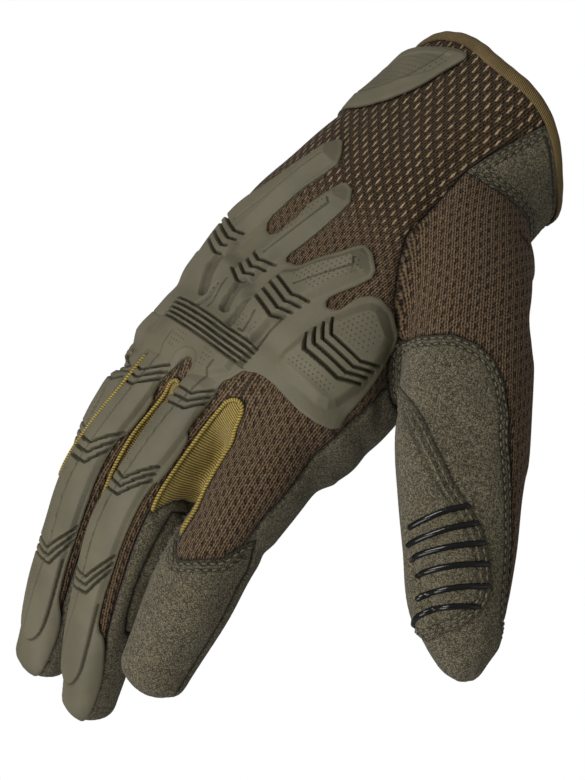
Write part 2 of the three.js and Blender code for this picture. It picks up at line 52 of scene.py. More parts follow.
# Palm sections from the cuff edge down: z, x, y, width, depth, lean of the cuff edge
PALM_ROWS = [
    (4, 1, 1, 73, 50, 1.0),
    (-9, 1, 1, 74, 51, 0.6),
    (-24, 0, 1, 76, 52, 0.2),
    (-44, -1, 2, 83, 53, 0),
    (-64, -1, 3, 91, 53, 0),
    (-84, 0, 5, 95, 52, 0),
    (-102, 0, 6, 94, 48, 0),
    (-116, -3, 6, 89, 40, 0),
    (-126, -5, 7, 80, 30, 0),
]
CUFF_EDGE = 4
CUFF_SLOPE = -0.42
CUFF_DROOP = 5
CUFF_HALF_WIDTH = 37
PALM_ROUNDNESS = 2.5
FINGER_ROUNDNESS = 2.4
THUMB_ROUNDNESS = 2.2

# Fingers: the root, the splay, rows of bend, length, width and depth, and the tip's width and depth
FINGERS = {
    "index": ((31, 4, -103), -2.5,
              [(0, 26, 24, 34), (16, 44, 25, 31), (24, 24, 24, 26), (28, 24, 24, 23)], (21.5, 18)),
    "middle": ((7, -2, -105), -3,
               [(0, 26, 22, 30), (11, 44, 23, 27), (31, 31, 22, 25), (43, 44, 22, 23)], (15.5, 15.5)),
    "ring": ((-15, -2, -106), -8.5,
             [(0, 26, 22, 28), (16, 43, 22, 25), (34, 32, 22, 24), (40, 43.6, 22, 23)], (17, 15)),
    "pinky": ((-33, 4, -99), -9,
              [(0, 26, 20, 26), (20, 38, 20, 23), (36, 26, 20, 22), (42, 32, 19, 20)], (14, 13)),
}
ROOT_SPLAY_SHARE = 0.6
TIP_SHARES = (0.25, 0.5, 0.7, 0.85, 0.95)
TIP_REACH = 0.7

# Thumb sections: x, y, z, width from pad to nail, depth
THUMB_ROWS = [
    (12, 0, -12, 24, 30),
    (27, 2, -30, 34, 38),
    (42, 4, -46, 38, 38),
    (54, 7, -60, 38, 34),
    (65, 11, -73, 38, 31),
    (74, 15.5, -84.5, 37.5, 29),
    (81.2, 21.7, -95.2, 34.6, 27),
    (88.5, 28.7, -105.4, 31.7, 25),
    (94.6, 36.4, -115.8, 28, 22),
    (99.6, 43.4, -123.3, 21.7, 17),
    (102.1, 46.9, -126.9, 15.4, 13),
    (103.9, 50.8, -129.1, 6, 7),
]
# How many steps each table's spans are faired in
PALM_STEPS = 8
FINGER_STEPS = 14
THUMB_STEPS = 8
THUMB_SIDE = (0.708, -0.684, -0.174)
BACK_WAY = (0, -1, 0)

# Sizes of the skin's mesh and of the sewn cloth
SKIN_VOXEL = 1.2
SKIN_TOP = 16
SKIN_ROW = 2.0
PALM_SIDES = 96
DIGIT_SIDES = 40
CLOTH = 1.3
SEAM_DIP = 0.55
SEAM_WIDTH = 2.0
# Half a turn round a digit counts as this many millimetres on its flat chart
SHARE_MM = 38


def fair(rows, steps):
    """A smooth curve through a table's rows, with the same number of steps in each span."""
    rows = np.asarray(rows, float)
    padded = np.vstack([rows[:1], rows, rows[-1:]])
    out = []
    for a, b, c, d in zip(padded, padded[1:], padded[2:], padded[3:]):
        for t in np.arange(steps) / steps:
            turn = (2 * a - 5 * b + 4 * c - d) * t**2 + (3 * b - a - 3 * c + d) * t**3
            out.append((2 * b + (c - a) * t + turn) / 2)
    return np.array(out + [rows[-1]])


def section(angle, roundness):
    """Places on a rounded box of half sizes 1, by the angle from the back to the thumb side."""
    s, c = np.sin(angle), np.cos(angle)
    reach = (np.abs(s) ** roundness + np.abs(c) ** roundness) ** (-1 / roundness)
    return s * reach, c * reach


def unit(vectors):
    return vectors / np.maximum(np.linalg.norm(vectors, axis=-1, keepdims=True), 1e-9)


def cuff_height(x, y):
    return CUFF_SLOPE * y - CUFF_DROOP * (x / CUFF_HALF_WIDTH) ** 2


class Palm:
    """The palm's chart: millimetres round it from the middle of the back, its row's z, and the height."""

    STEP = 1.0
    TOP = 24
    TURNS = 289
    LEAN_ROUNDS = 12

    def __init__(self):
        self.rows = fair(PALM_ROWS, PALM_STEPS)[::-1]
        self.levels = np.arange(PALM_ROWS[-1][0], self.TOP + self.STEP, self.STEP)
        self.angles = np.linspace(-pi, pi, self.TURNS)
        self.arcs = np.array([self._arc(z) for z in self.levels])

    def row(self, z):
        return [np.interp(z, self.rows[:, 0], self.rows[:, k]) for k in range(1, 6)]

    def _arc(self, z):
        _, _, width, depth, _ = self.row(z)
        across, up = section(self.angles, PALM_ROUNDNESS)
        steps = np.hypot(np.diff(across) * width / 2, np.diff(up) * depth / 2)
        walked = np.concatenate([[0], np.cumsum(steps)])
        return walked - walked[len(walked) // 2]

    def _level(self, z):
        at = np.clip((z - self.levels[0]) / self.STEP, 0, len(self.levels) - 1.001)
        low = at.astype(int)
        return low, at - low

    def half_girth(self, z):
        return np.interp(z, self.levels, self.arcs[:, -1])

    def place(self, around, z, height):
        around, z, height = np.broadcast_arrays(*np.atleast_1d(around, z, height))
        low, share = self._level(z.astype(float))
        angle = np.empty(len(z))
        for level in np.unique(low):
            here = low == level
            one = np.interp(around[here], self.arcs[level], self.angles)
            two = np.interp(around[here], self.arcs[level + 1], self.angles)
            angle[here] = one + (two - one) * share[here]
        x0, y0, width, depth, lean = self.row(z)
        across, up = section(angle, PALM_ROUNDNESS)
        x = x0 + across * (width / 2 + height)
        y = y0 - up * (depth / 2 + height)
        return np.stack([x, y, z + lean * cuff_height(x, y)], -1)

    def read(self, points):
        x, y, z = points.T
        level = z.copy()
        for _ in range(self.LEAN_ROUNDS):
            level = z - self.row(level)[4] * cuff_height(x, y)
        x0, y0, width, depth, _ = self.row(level)
        across, up = (x - x0) / (width / 2), (y0 - y) / (depth / 2)
        angle = np.arctan2(across, up)
        on_across, on_up = section(angle, PALM_ROUNDNESS)
        out = np.hypot(across, up) / np.hypot(on_across, on_up)
        height = (out - 1) * np.hypot(on_across * width, on_up * depth) / 2
        low, share = self._level(level)
        turn = (angle + pi) / (2 * pi) * (len(self.angles) - 1)
        left = np.clip(turn.astype(int), 0, len(self.angles) - 2)
        across_share = turn - left

        def walked(number):
            start, end = self.arcs[number, left], self.arcs[number, left + 1]
            return start * (1 - across_share) + end * across_share

        around = walked(low)
        past_end = np.maximum(self.levels[0] - level, 0)
        return around + (walked(low + 1) - around) * share, level, np.maximum(height, past_end)


class Digit:
    """A digit's chart: millimetres along it, the share of half a turn from its back, and the height."""

    BATCH = 20000

    def __init__(self, rows, facing, roundness, from_pad):
        self.roundness = roundness
        self.middle, self.width, self.depth = rows[:, :3], rows[:, 3], rows[:, 4]
        self.way = unit(np.gradient(self.middle, axis=0))
        side = unit(np.cross(self.way, facing))
        if not from_pad:
            side *= np.sign(side[:, :1])
        back = np.cross(side, self.way)
        self.side, self.back = side, back * np.sign(back @ np.asarray(facing, float))[:, None]
        self.measure()

    def measure(self):
        steps = np.linalg.norm(np.diff(self.middle, axis=0), axis=1)
        self.along = np.concatenate([[0], np.cumsum(steps)])

    def add_tip(self):
        shares = np.array(TIP_SHARES)
        narrow = np.sqrt(1 - shares**2)
        reach = min(self.width[-1], self.depth[-1]) / 2 * TIP_REACH
        self.middle = np.vstack([self.middle, self.middle[-1] + np.outer(shares, self.way[-1]) * reach])
        self.width = np.append(self.width, self.width[-1] * narrow)
        self.depth = np.append(self.depth, self.depth[-1] * narrow)
        for key in ("way", "side", "back"):
            rows = getattr(self, key)
            setattr(self, key, np.vstack([rows, np.tile(rows[-1], (len(shares), 1))]))
        self.measure()
        return self

    def place(self, along, share, height):
        along, share, height = np.broadcast_arrays(*np.atleast_1d(along, share, height))

        def at(values):
            return np.stack([np.interp(along, self.along, values[:, k]) for k in range(3)], -1)

        across, up = section(share * pi, self.roundness)
        width = np.interp(along, self.along, self.width) / 2 + height
        depth = np.interp(along, self.along, self.depth) / 2 + height
        aside, above = at(self.side) * (across * width)[:, None], at(self.back) * (up * depth)[:, None]
        return at(self.middle) + aside + above

    def read(self, points):
        along, share, height = (np.empty(len(points)) for _ in range(3))
        for start in range(0, len(points), self.BATCH):
            part = slice(start, start + self.BATCH)
            p = points[part]
            squares = (p**2).sum(1)[:, None] - 2 * p @ self.middle.T + (self.middle**2).sum(1)
            near = squares.argmin(1)
            gap = p - self.middle[near]
            step = (gap * self.way[near]).sum(1)
            across = (gap * self.side[near]).sum(1)
            up = (gap * self.back[near]).sum(1)
            width, depth = self.width[near] / 2, self.depth[near] / 2
            angle = np.arctan2(across / width, up / depth)
            on_across, on_up = section(angle, self.roundness)
            reach = np.hypot(on_across * width, on_up * depth)
            past = np.where((near == 0) | (near == len(self.along) - 1), np.abs(step), 0)
            along[part] = self.along[near] + step
            share[part] = angle / pi
            height[part] = np.maximum(np.hypot(across, up) - reach, past)
        return along, share, height

    def half_girth(self, along):
        """Millimetres round half of the digit."""
        return pi / 4 * np.interp(along, self.along, self.width + self.depth)

    def rings(self, count):
        angles = np.arange(count) / count * 2
        return [self.place(along, angles, 0) for along in self.along]


def finger_chart(root, splay, phalanges, tip):
    root, splay = np.array(root, float), radians(splay)
    base = np.array([sin(splay * ROOT_SPLAY_SHARE), 0, -cos(splay * ROOT_SPLAY_SHARE)])
    joints = [root - base * phalanges[0][1], root]
    for bend, length, _, _ in phalanges[1:]:
        tilt = radians(bend)
        way = np.array([sin(splay) * cos(tilt), sin(tilt), -cos(splay) * cos(tilt)])
        joints.append(joints[-1] + way * length)
    sizes = [row[2:] for row in phalanges] + [tip]
    rows = fair(np.hstack([joints, sizes]), FINGER_STEPS)
    return Digit(rows, BACK_WAY, FINGER_ROUNDNESS, False).add_tip()


palm = Palm()
digits = {name: finger_chart(*table) for name, table in FINGERS.items()}
digits["thumb"] = Digit(fair(THUMB_ROWS, THUMB_STEPS), THUMB_SIDE, THUMB_ROUNDNESS, True)
CHARTS = ("palm", *digits)


# Meshes as arrays


def loft(rings):
    """A closed tube through the rings, as points and faces."""
    count = len(rings[0])
    points = np.vstack(list(rings) + [rings[0].mean(0), rings[-1].mean(0)])
    faces = []
    for i in range(len(rings) - 1):
        for j in range(count):
            a, b = i * count + j, i * count + (j + 1) % count
            faces.append((a, b, b + count, a + count))
    last = (len(rings) - 1) * count
    for j in range(count):
        k = (j + 1) % count
        faces.append((len(points) - 2, k, j))
        faces.append((len(points) - 1, last + j, last + k))
    return points, faces


def mesh_object(name, points, faces, uv=None, **values):
    """An object at the origin, with smooth faces, a UV map and named values at its points."""
    mesh = bpy.data.meshes.new(name)
    mesh.from_pydata((points * MM).tolist(), [], faces.tolist() if isinstance(faces, np.ndarray) else faces)
    mesh.validate()
    mesh.shade_smooth()
    if uv is not None:
        corners = np.empty(len(mesh.loops), np.int32)
        mesh.loops.foreach_get("vertex_index", corners)
        layer = mesh.uv_layers.new(name="UVMap")
        layer.data.foreach_set("uv", np.asarray(uv, np.float32)[corners].ravel())
    for key, numbers in values.items():
        mesh.attributes.new(key, "FLOAT", "POINT").data.foreach_set("value", np.asarray(numbers, np.float32))
    obj = bpy.data.objects.new(name, mesh)
    bpy.context.scene.collection.objects.link(obj)
    return obj


def apply_modifier(obj, kind, **settings):
    modifier = obj.modifiers.new(kind.title(), kind)
    for key, value in settings.items():
        setattr(modifier, key, value)
    bpy.context.view_layer.objects.active = obj
    bpy.ops.object.modifier_apply(modifier=modifier.name)


def face_edges(faces):
    """Each face's three edges, in the direction the face runs."""
    return np.vstack([faces[:, (0, 1)], faces[:, (1, 2)], faces[:, (2, 0)]])


def edges_of(faces):
    return np.unique(np.sort(face_edges(faces), axis=1), axis=0)


def neighbours(faces, count):
    """Every point's neighbours, as pairs of point numbers, and how many each point has."""
    edges = edges_of(faces)
    both = np.vstack([edges, edges[:, ::-1]])
    return both, np.bincount(both[:, 0], minlength=count)


RELAX_STEP, RELAX_BACK = 0.5, -0.53


def relax(points, faces, rounds, back=RELAX_BACK):
    """Even the points out without shrinking the form. Points on an open edge stay."""
    count = len(points)
    both, near = neighbours(faces, count)
    near = np.maximum(near[:, None], 1)
    free = np.ones((count, 1))
    free[open_points(faces)] = 0
    for turn in range(2 * rounds):
        total = np.stack([np.bincount(both[:, 0], points[both[:, 1], k], count) for k in range(3)], -1)
        points = points + (total / near - points) * (back if turn % 2 else RELAX_STEP) * free
    return points


def calm(values, faces, rounds):
    """Values at a mesh's points, evened out with their neighbours'."""
    both, near = neighbours(faces, len(values))
    for _ in range(rounds):
        values = (values + np.bincount(both[:, 0], values[both[:, 1]], len(values))) / (near + 1)
    return values


def open_edges(faces):
    """The open edges, each in the direction its face runs."""
    pairs = face_edges(faces)
    _, number, uses = np.unique(np.sort(pairs, axis=1), axis=0, return_inverse=True, return_counts=True)
    return pairs[uses[number.ravel()] == 1]


def open_points(faces):
    return np.unique(open_edges(faces))


def normals_of(points, faces):
    a, b, c = (points[faces[:, k]] for k in range(3))
    flat = np.cross(b - a, c - a)
    total = np.zeros_like(points)
    for k in range(3):
        for axis in range(3):
            total[:, axis] += np.bincount(faces[:, k], flat[:, axis], len(points))
    return unit(total)


def compact(points, faces):
    used, index = np.unique(faces, return_inverse=True)
    return points[used], index.reshape(-1, 3)


# Points this close to a cut, as a share of their edge, are moved onto it
SNAP = 0.2


def cut(points, faces, field):
    """The mesh where the field is above 0, and the rest, parted where it is 0."""
    points, field = points.copy(), field.copy()
    edges = edges_of(faces)
    edges = edges[(field[edges[:, 0]] > 0) != (field[edges[:, 1]] > 0)]
    a, b = edges.T
    share = field[a] / (field[a] - field[b])
    spots = points[a] + (points[b] - points[a]) * share[:, None]
    for ends, near in ((a, share < SNAP), (b, share > 1 - SNAP)):
        points[ends[near]] = spots[near]
        field[ends[near]] = 0
    sign = np.sign(field).astype(int)
    signs = sign[faces]
    mixed = (signs.max(1) > 0) & (signs.min(1) < 0)
    inside = [faces[~mixed & (signs.max(1) > 0)]]
    outside = [faces[~mixed & (signs.max(1) <= 0)]]
    made, spots = {}, []

    def crossing(i, j):
        key = (min(i, j), max(i, j))
        if key not in made:
            t = field[i] / (field[i] - field[j])
            made[key] = len(points) + len(spots)
            spots.append(points[i] + (points[j] - points[i]) * t)
        return made[key]

    halves = {1: [], -1: []}
    for face in faces[mixed].tolist():
        rings = {1: [], -1: []}
        for i, j in zip(face, face[1:] + face[:1]):
            for half in (1, -1):
                if sign[i] * half >= 0:
                    rings[half].append(i)
            if sign[i] * sign[j] < 0:
                k = crossing(i, j)
                rings[1].append(k)
                rings[-1].append(k)
        for half, ring in rings.items():
            halves[half] += [(ring[0], ring[k], ring[k + 1]) for k in range(1, len(ring) - 1)]
    if spots:
        points = np.vstack([points, spots])
        inside.append(np.array(halves[1]))
        outside.append(np.array(halves[-1]))
    return compact(points, np.vstack(inside)), compact(points, np.vstack(outside))


def refine(sheet, faces, wanted=None):
    """Halve the edges of the wanted faces, but no open edge, or of all faces. The sheet has any columns."""
    pairs = np.sort(np.stack([faces, np.roll(faces, -1, 1)], -1).reshape(-1, 2), axis=1)
    edges, number, uses = np.unique(pairs, axis=0, return_inverse=True, return_counts=True)
    number = number.reshape(-1, 3)
    if wanted is None:
        halved = np.ones(len(edges), bool)
    else:
        halved = np.zeros(len(edges), bool)
        halved[number[wanted].ravel()] = True
        halved &= uses == 2
    middle = np.full(len(edges), -1)
    middle[halved] = len(sheet) + np.arange(halved.sum())
    sheet = np.vstack([sheet, sheet[edges[halved]].mean(1)])
    out = []
    for (a, b, c), (ab, bc, ca) in zip(faces.tolist(), middle[number].tolist()):
        if ab >= 0 and bc >= 0 and ca >= 0:
            out += [(a, ab, ca), (ab, b, bc), (ca, bc, c), (ab, bc, ca)]
            continue
        while (ab < 0 and (bc >= 0 or ca >= 0)) or (ca >= 0 and bc < 0):
            a, b, c, ab, bc, ca = b, c, a, bc, ca, ab
        if bc >= 0:
            out += [(ab, b, bc), (a, ab, bc), (a, bc, c)]
        elif ab >= 0:
            out += [(a, ab, c), (ab, b, c)]
        else:
            out.append((a, b, c))
    return sheet, np.array(out)


def runs(links, shortest):
    """Linked keys in order, each run from one of its ends, without the short ones."""
    out, seen = [], set()
    for start in sorted(links, key=lambda key: (len(links[key]), key)):
        if start in seen:
            continue
        run, here = [], start
        while here is not None:
            seen.add(here)
            run.append(here)
            here = next((key for key in links[here] if key not in seen), None)
        if len(run) >= shortest:
            out.append(run)
    return out


def contour(points, faces, field, level):
    """Lines on the mesh where the field has one value, each as its places and normals."""
    field = field - level + 1e-7
    normals = normals_of(points, faces)
    above = field > 0
    mixed = faces[(above[faces].sum(1) % 3) != 0]
    spots, links = {}, {}
    for face in mixed.tolist():
        ends = []
        for i, j in zip(face, face[1:] + face[:1]):
            if above[i] != above[j]:
                key = (min(i, j), max(i, j))
                if key not in spots:
                    t = field[i] / (field[i] - field[j])
                    place = points[i] + (points[j] - points[i]) * t
                    spots[key] = (place, normals[i] + (normals[j] - normals[i]) * t)
                ends.append(key)
        links.setdefault(ends[0], []).append(ends[1])
        links.setdefault(ends[1], []).append(ends[0])
    lines = []
    for run in runs(links, 4):
        places, ways = zip(*(spots[key] for key in run))
        lines.append((np.array(places), unit(np.array(ways))))
    return lines


def rounded(line, rounds=1, closed=False):
    """A line with its corners cut off, over and over."""
    line = np.asarray(line, float)
    for _ in range(rounds):
        ends = np.vstack([line, line[:1]]) if closed else line
        a, b = ends[:-1], ends[1:]
        cuts = np.stack([a * 0.75 + b * 0.25, a * 0.25 + b * 0.75], 1).reshape(-1, 2)
        line = cuts if closed else np.vstack([line[:1], cuts, line[-1:]])
    return line


def evened(line, rounds):
    """A line's places evened out along it. Its ends stay."""
    for _ in range(rounds):
        line[1:-1] = (line[:-2] + line[1:-1] * 2 + line[2:]) / 4
    return line


def tree_of(points):
    tree = KDTree(len(points))
    for number, place in enumerate(points):
        tree.insert(place, number)
    tree.balance()
    return tree


def ramp(values, start, end):
    """0 before start, 1 after end, and smooth between."""
    t = np.clip((values - start) / (end - start), 0, 1)
    return t * t * (3 - 2 * t)


def slope(values, start, end):
    """0 before start, 1 after end, and straight between."""
    return np.clip((values - start) / (end - start), 0, 1)


def bell(gap, width):
    """1 at a gap of 0, falling smoothly to 0 on both sides."""
    return np.exp(-((gap / width) ** 2))


def line_gap(line, u, v, closed=False):
    """Distance of places in a chart to a line in it."""
    line = np.asarray(line, float)
    ends = np.roll(line, -1, axis=0) if closed else line[1:]
    gap = np.full(len(u), 1e9)
    for (ax, ay), (bx, by) in zip(line, ends):
        dx, dy = bx - ax, by - ay
        t = np.clip(((u - ax) * dx + (v - ay) * dy) / max(dx * dx + dy * dy, 1e-9), 0, 1)
        gap = np.minimum(gap, np.hypot(u - ax - t * dx, v - ay - t * dy))
    return gap


def inside_gap(line, u, v, corner=0.0):
    """How far places in a chart lie inside a closed outline, with its outer corners rounded."""
    line = np.asarray(line, float)
    gap = line_gap(line, u, v, closed=True)
    inside = np.zeros(len(u), bool)
    for (ax, ay), (bx, by) in zip(line, np.roll(line, -1, axis=0)):
        if ay == by:
            continue
        across = (ay > v) != (by > v)
        inside ^= across & (u < ax + (v - ay) / (by - ay) * (bx - ax))
    return np.where(inside, gap, -gap) + corner


# The skin: the outer form of the whole glove


def build_skin():
    turn = np.linspace(-pi, pi, PALM_SIDES, endpoint=False)
    rings = []
    for z in np.arange(SKIN_TOP, PALM_ROWS[-1][0] - 0.1, -SKIN_ROW):
        x0, y0, width, depth, lean = palm.row(z)
        across, up = section(turn, PALM_ROUNDNESS)
        x, y = x0 + across * width / 2, y0 - up * depth / 2
        rings.append(np.stack([x, y, z + lean * cuff_height(x, y)], -1))
    parts = [loft(rings)] + [loft(digit.rings(DIGIT_SIDES)) for digit in digits.values()]
    points, faces, start = [], [], 0
    for part_points, part_faces in parts:
        points.append(part_points)
        faces += [tuple(start + k for k in face) for face in part_faces]
        start += len(part_points)
    obj = mesh_object("skin", np.vstack(points), faces)
    apply_modifier(obj, "REMESH", mode="VOXEL", voxel_size=SKIN_VOXEL * MM)
    mesh = obj.data
    places = np.empty(len(mesh.vertices) * 3)
    mesh.vertices.foreach_get("co", places)
    mesh.calc_loop_triangles()
    triangles = np.empty(len(mesh.loop_triangles) * 3, np.int32)
    mesh.loop_triangles.foreach_get("vertices", triangles)
    bpy.data.objects.remove(obj)
    return places.reshape(-1, 3) / MM, triangles.reshape(-1, 3)


def sunk(chart, u, v):
    """How deep the creases are at places in a chart."""
    out = np.zeros(np.shape(u))
    for name, line, width, depth in FOLDS:
        if name == chart:
            out += depth * bell(line_gap(line, u, v), width)
    return out


# Where the cuff's edge dips on the back and stands higher on the thumb side: place, width, height
CUFF_WAVES = [(11, 15, -2.2), (38, 12, 0.9)]


def cuff_edge(around):
    """The level of the cuff's edge at millimetres round the palm."""
    level = np.full(np.shape(around), float(CUFF_EDGE))
    for place, width, height in CUFF_WAVES:
        level = level + height * bell(around - place, width)
    return level


# How far from two forms the corner between them is filled, and how far from its chart a crease reaches
CORNER_REACH = 3.5
FOLD_REACH = 4
# The rounds that even out the whole skin, and those that fill its corners
SKIN_ROUNDS = 6
CORNER_ROUNDS = 14
# Slow waves of the cloth: height, direction, length and start
WAVES = [
    (0.16, (0.8, 0.3, 0.5), 3.1, 0.4),
    (0.14, (-0.4, 0.8, 0.45), 4.3, 1.7),
    (0.20, (0.2, -0.5, 0.84), 6.2, 2.9),
]
# Creases of the worn cloth: the chart, the line in it, the width and the depth
FOLDS = [
    ("palm", [(24, -21), (31, -40), (37, -58), (45, -68)], 3.0, 0.9),
    ("palm", [(34, -28), (40, -44), (46, -56)], 4.0, -0.8),
    ("palm", [(18, -12), (24, -26), (26, -40)], 4.0, -0.5),
    ("palm", [(52, -78), (58, -86), (64, -92)], 3.0, 1.2),
    ("thumb", [(146, 6), (138, 9), (130, 14)], 2.2, 1.6),
    ("thumb", [(86, 18), (92, 4), (97, -6)], 3.5, 0.5),
    ("thumb", [(72, -16), (86, -18), (100, -20)], 3.5, -0.5),
    ("thumb", [(70, 22), (84, 20), (96, 24)], 4.0, 0.6),
    ("index", [(68, -6), (72, 6), (70, 18)], 3.0, 0.5),
    ("index", [(50, 20), (60, 12), (74, 14)], 4.0, -0.4),
    ("middle", [(70, 22), (74, 30), (73, 38)], 2.5, 0.9),
    ("middle", [(70, -22), (74, -30), (73, -38)], 2.5, 0.9),
    ("ring", [(68, 22), (72, 30), (71, 38)], 2.5, 0.9),
    ("ring", [(68, -22), (72, -30), (71, -38)], 2.5, 0.9),
    ("pinky", [(62, 20), (66, 30), (65, 38)], 2.5, 0.8),
    ("pinky", [(62, -20), (66, -30), (65, -38)], 2.5, 0.8),
    ("index", [(68, 24), (71, 32), (70, 38)], 2.5, 0.8),
    ("palm", [(-41, -124), (-41, -112)], 12.0, 4.0),
    ("palm", [(-42, -98), (-42, -78)], 13.0, 2.8),
    ("palm", [(92, -98), (82, -108), (73, -116)], 9.0, -4.6),
    ("palm", [(-24.5, -119), (-25.5, -111.5)], 7.0, 1.6),
    ("palm", [(-32, -94.5), (-35, -89.5)], 7.0, 0.8),
    ("pinky", [(34, -8), (43, -4)], 6.0, 1.8),
    ("palm", [(-27, -115), (-27.5, -117)], 4.5, 1.0),
    ("pinky", [(51, 1), (55, 0)], 5.0, -1.6),
    ("thumb", [(88, 10), (96, 2), (102, -2)], 4.0, 0.9),
    ("thumb", [(78, 16), (88, 4), (90, -6)], 3.0, -0.7),
    ("thumb", [(47, -25), (56, -22)], 7.5, 3.6),
    ("thumb", [(33, -20), (37, -20)], 4.0, -0.9),
    ("palm", [(-70, -30), (-86, -52), (-96, -80)], 5.0, 0.8),
    ("palm", [(92, -40), (100, -66), (96, -92)], 6.0, 1.0),
    ("palm", [(-90, -104), (-110, -98), (108, -100), (86, -106)], 4.0, 1.0),
]


class Reading:
    """What each chart says of a mesh's points, worked out once for each chart."""

    def __init__(self, points):
        self.points = points
        self.kept = {}

    def __getitem__(self, name):
        if name not in self.kept:
            self.kept[name] = (palm if name == "palm" else digits[name]).read(self.points)
        return self.kept[name]

    def flat(self, name):
        """The chart as two distances in millimetres."""
        u, v, _ = self[name]
        return (u, v) if name == "palm" else (u, v * SHARE_MM)


def worn_skin():
    """The skin with the corners between its forms filled, and with its creases and slow waves."""
    points, faces = build_skin()
    points = relax(points, faces, SKIN_ROUNDS)
    reading = Reading(points)
    heights = np.sort(np.abs([reading[name][2] for name in CHARTS]), axis=0)
    blend = bell(heights[1], CORNER_REACH)[:, None]
    smoother = relax(points, faces, CORNER_ROUNDS, back=0.0)
    points = points + (smoother - points) * blend
    reading = Reading(points)
    sink = np.zeros(len(points))
    for name in CHARTS:
        sink += bell(reading[name][2], FOLD_REACH) * sunk(name, *reading.flat(name))
    waves = sum(amount * np.sin(points @ np.array(way) / wave + start) for amount, way, wave, start in WAVES)
    return points - normals_of(points, faces) * (sink + waves)[:, None], faces


skin_points, skin_faces = worn_skin()
skin_reading = Reading(skin_points)
skin_normals = normals_of(skin_points, skin_faces)
skin_tree = tree_of(skin_points)


# Materials


def srgb(red, green, blue):
    """A linear colour from screen values of 0 to 255."""

    def linear(value):
        value /= 255
        return value / 12.92 if value <= 0.04045 else ((value + 0.055) / 1.055) ** 2.4

    return (linear(red), linear(green), linear(blue), 1)


class Nodes:
    """Short calls for building a node tree."""

    def __init__(self, tree):
        self.tree = tree

    def add(self, kind, inputs=None, **settings):
        node = self.tree.nodes.new(kind)
        for key, value in settings.items():
            setattr(node, key, value)
        for key, value in (inputs or {}).items():
            if isinstance(value, bpy.types.NodeSocket):
                self.tree.links.new(value, node.inputs[key])
            else:
                node.inputs[key].default_value = value
        return node

    def math(self, operation, *values):
        return self.add("ShaderNodeMath", dict(enumerate(values)), operation=operation).outputs[0]

    def mix(self, share, one, two, blend="MIX"):
        inputs = {0: share, 6: one, 7: two}
        return self.add("ShaderNodeMix", inputs, data_type="RGBA", blend_type=blend).outputs[2]

    def darken(self, colour, value):
        return self.mix(1.0, colour, value, "MULTIPLY")

    def length(self, one, two):
        squares = self.math("ADD", self.math("MULTIPLY", one, one), self.math("MULTIPLY", two, two))
        return self.math("SQRT", squares)

    def split(self, place):
        return self.add("ShaderNodeSeparateXYZ", {0: place}).outputs

    def in_cell(self, value):
        """Where a value lies in its cell, from -0.5 to 0.5."""
        return self.math("SUBTRACT", self.math("FRACT", value), 0.5)

    def odd(self, value, amount=1.0):
        """An amount in each second cell, and 0 in the others."""
        return self.math("MULTIPLY", self.math("FLOORED_MODULO", self.math("FLOOR", value), 2.0), amount)

    def smooth(self, value, low, high, to_low=0.0, to_high=1.0):
        inputs = {0: value, 1: low, 2: high, 3: to_low, 4: to_high}
        return self.add("ShaderNodeMapRange", inputs, interpolation_type="SMOOTHSTEP").outputs[0]

    def noise(self, place, size, detail=2.0, roughness=0.5):
        inputs = {"Vector": place, "Scale": 1 / (size * MM), "Detail": detail, "Roughness": roughness}
        return self.add("ShaderNodeTexNoise", inputs).outputs[0]

    def place(self):
        return self.add("ShaderNodeTexCoord").outputs["Object"]

    def chart(self):
        return self.add("ShaderNodeUVMap", uv_map="UVMap").outputs["UV"]

    def value(self, name):
        return self.add("ShaderNodeAttribute", attribute_name=name).outputs["Fac"]

    def bump(self, height, depth, strength=1.0, under=None):
        inputs = {"Height": height, "Distance": depth * MM, "Strength": strength}
        if under is not None:
            inputs["Normal"] = under
        return self.add("ShaderNodeBump", inputs).outputs[0]

    def group(self, group, **inputs):
        return self.add("ShaderNodeGroup", inputs, node_tree=group).outputs


def new_group(name, inputs, outputs):
    """An empty node group, with its sockets, the maker of its nodes, its input and its output."""
    group = bpy.data.node_groups.new(name, "ShaderNodeTree")
    for label in inputs:
        kind = "NodeSocketVector" if label == "Place" else "NodeSocketFloat"
        group.interface.new_socket(label, in_out="INPUT", socket_type=kind)
    for label in outputs:
        group.interface.new_socket(label, in_out="OUTPUT", socket_type="NodeSocketFloat")
    nodes = Nodes(group)
    start, end = nodes.add("NodeGroupInput"), nodes.add("NodeGroupOutput")
    return group, nodes, start.outputs, end


def finish_group(nodes, end, **results):
    for label, socket in results.items():
        nodes.tree.links.new(socket, end.inputs[label])


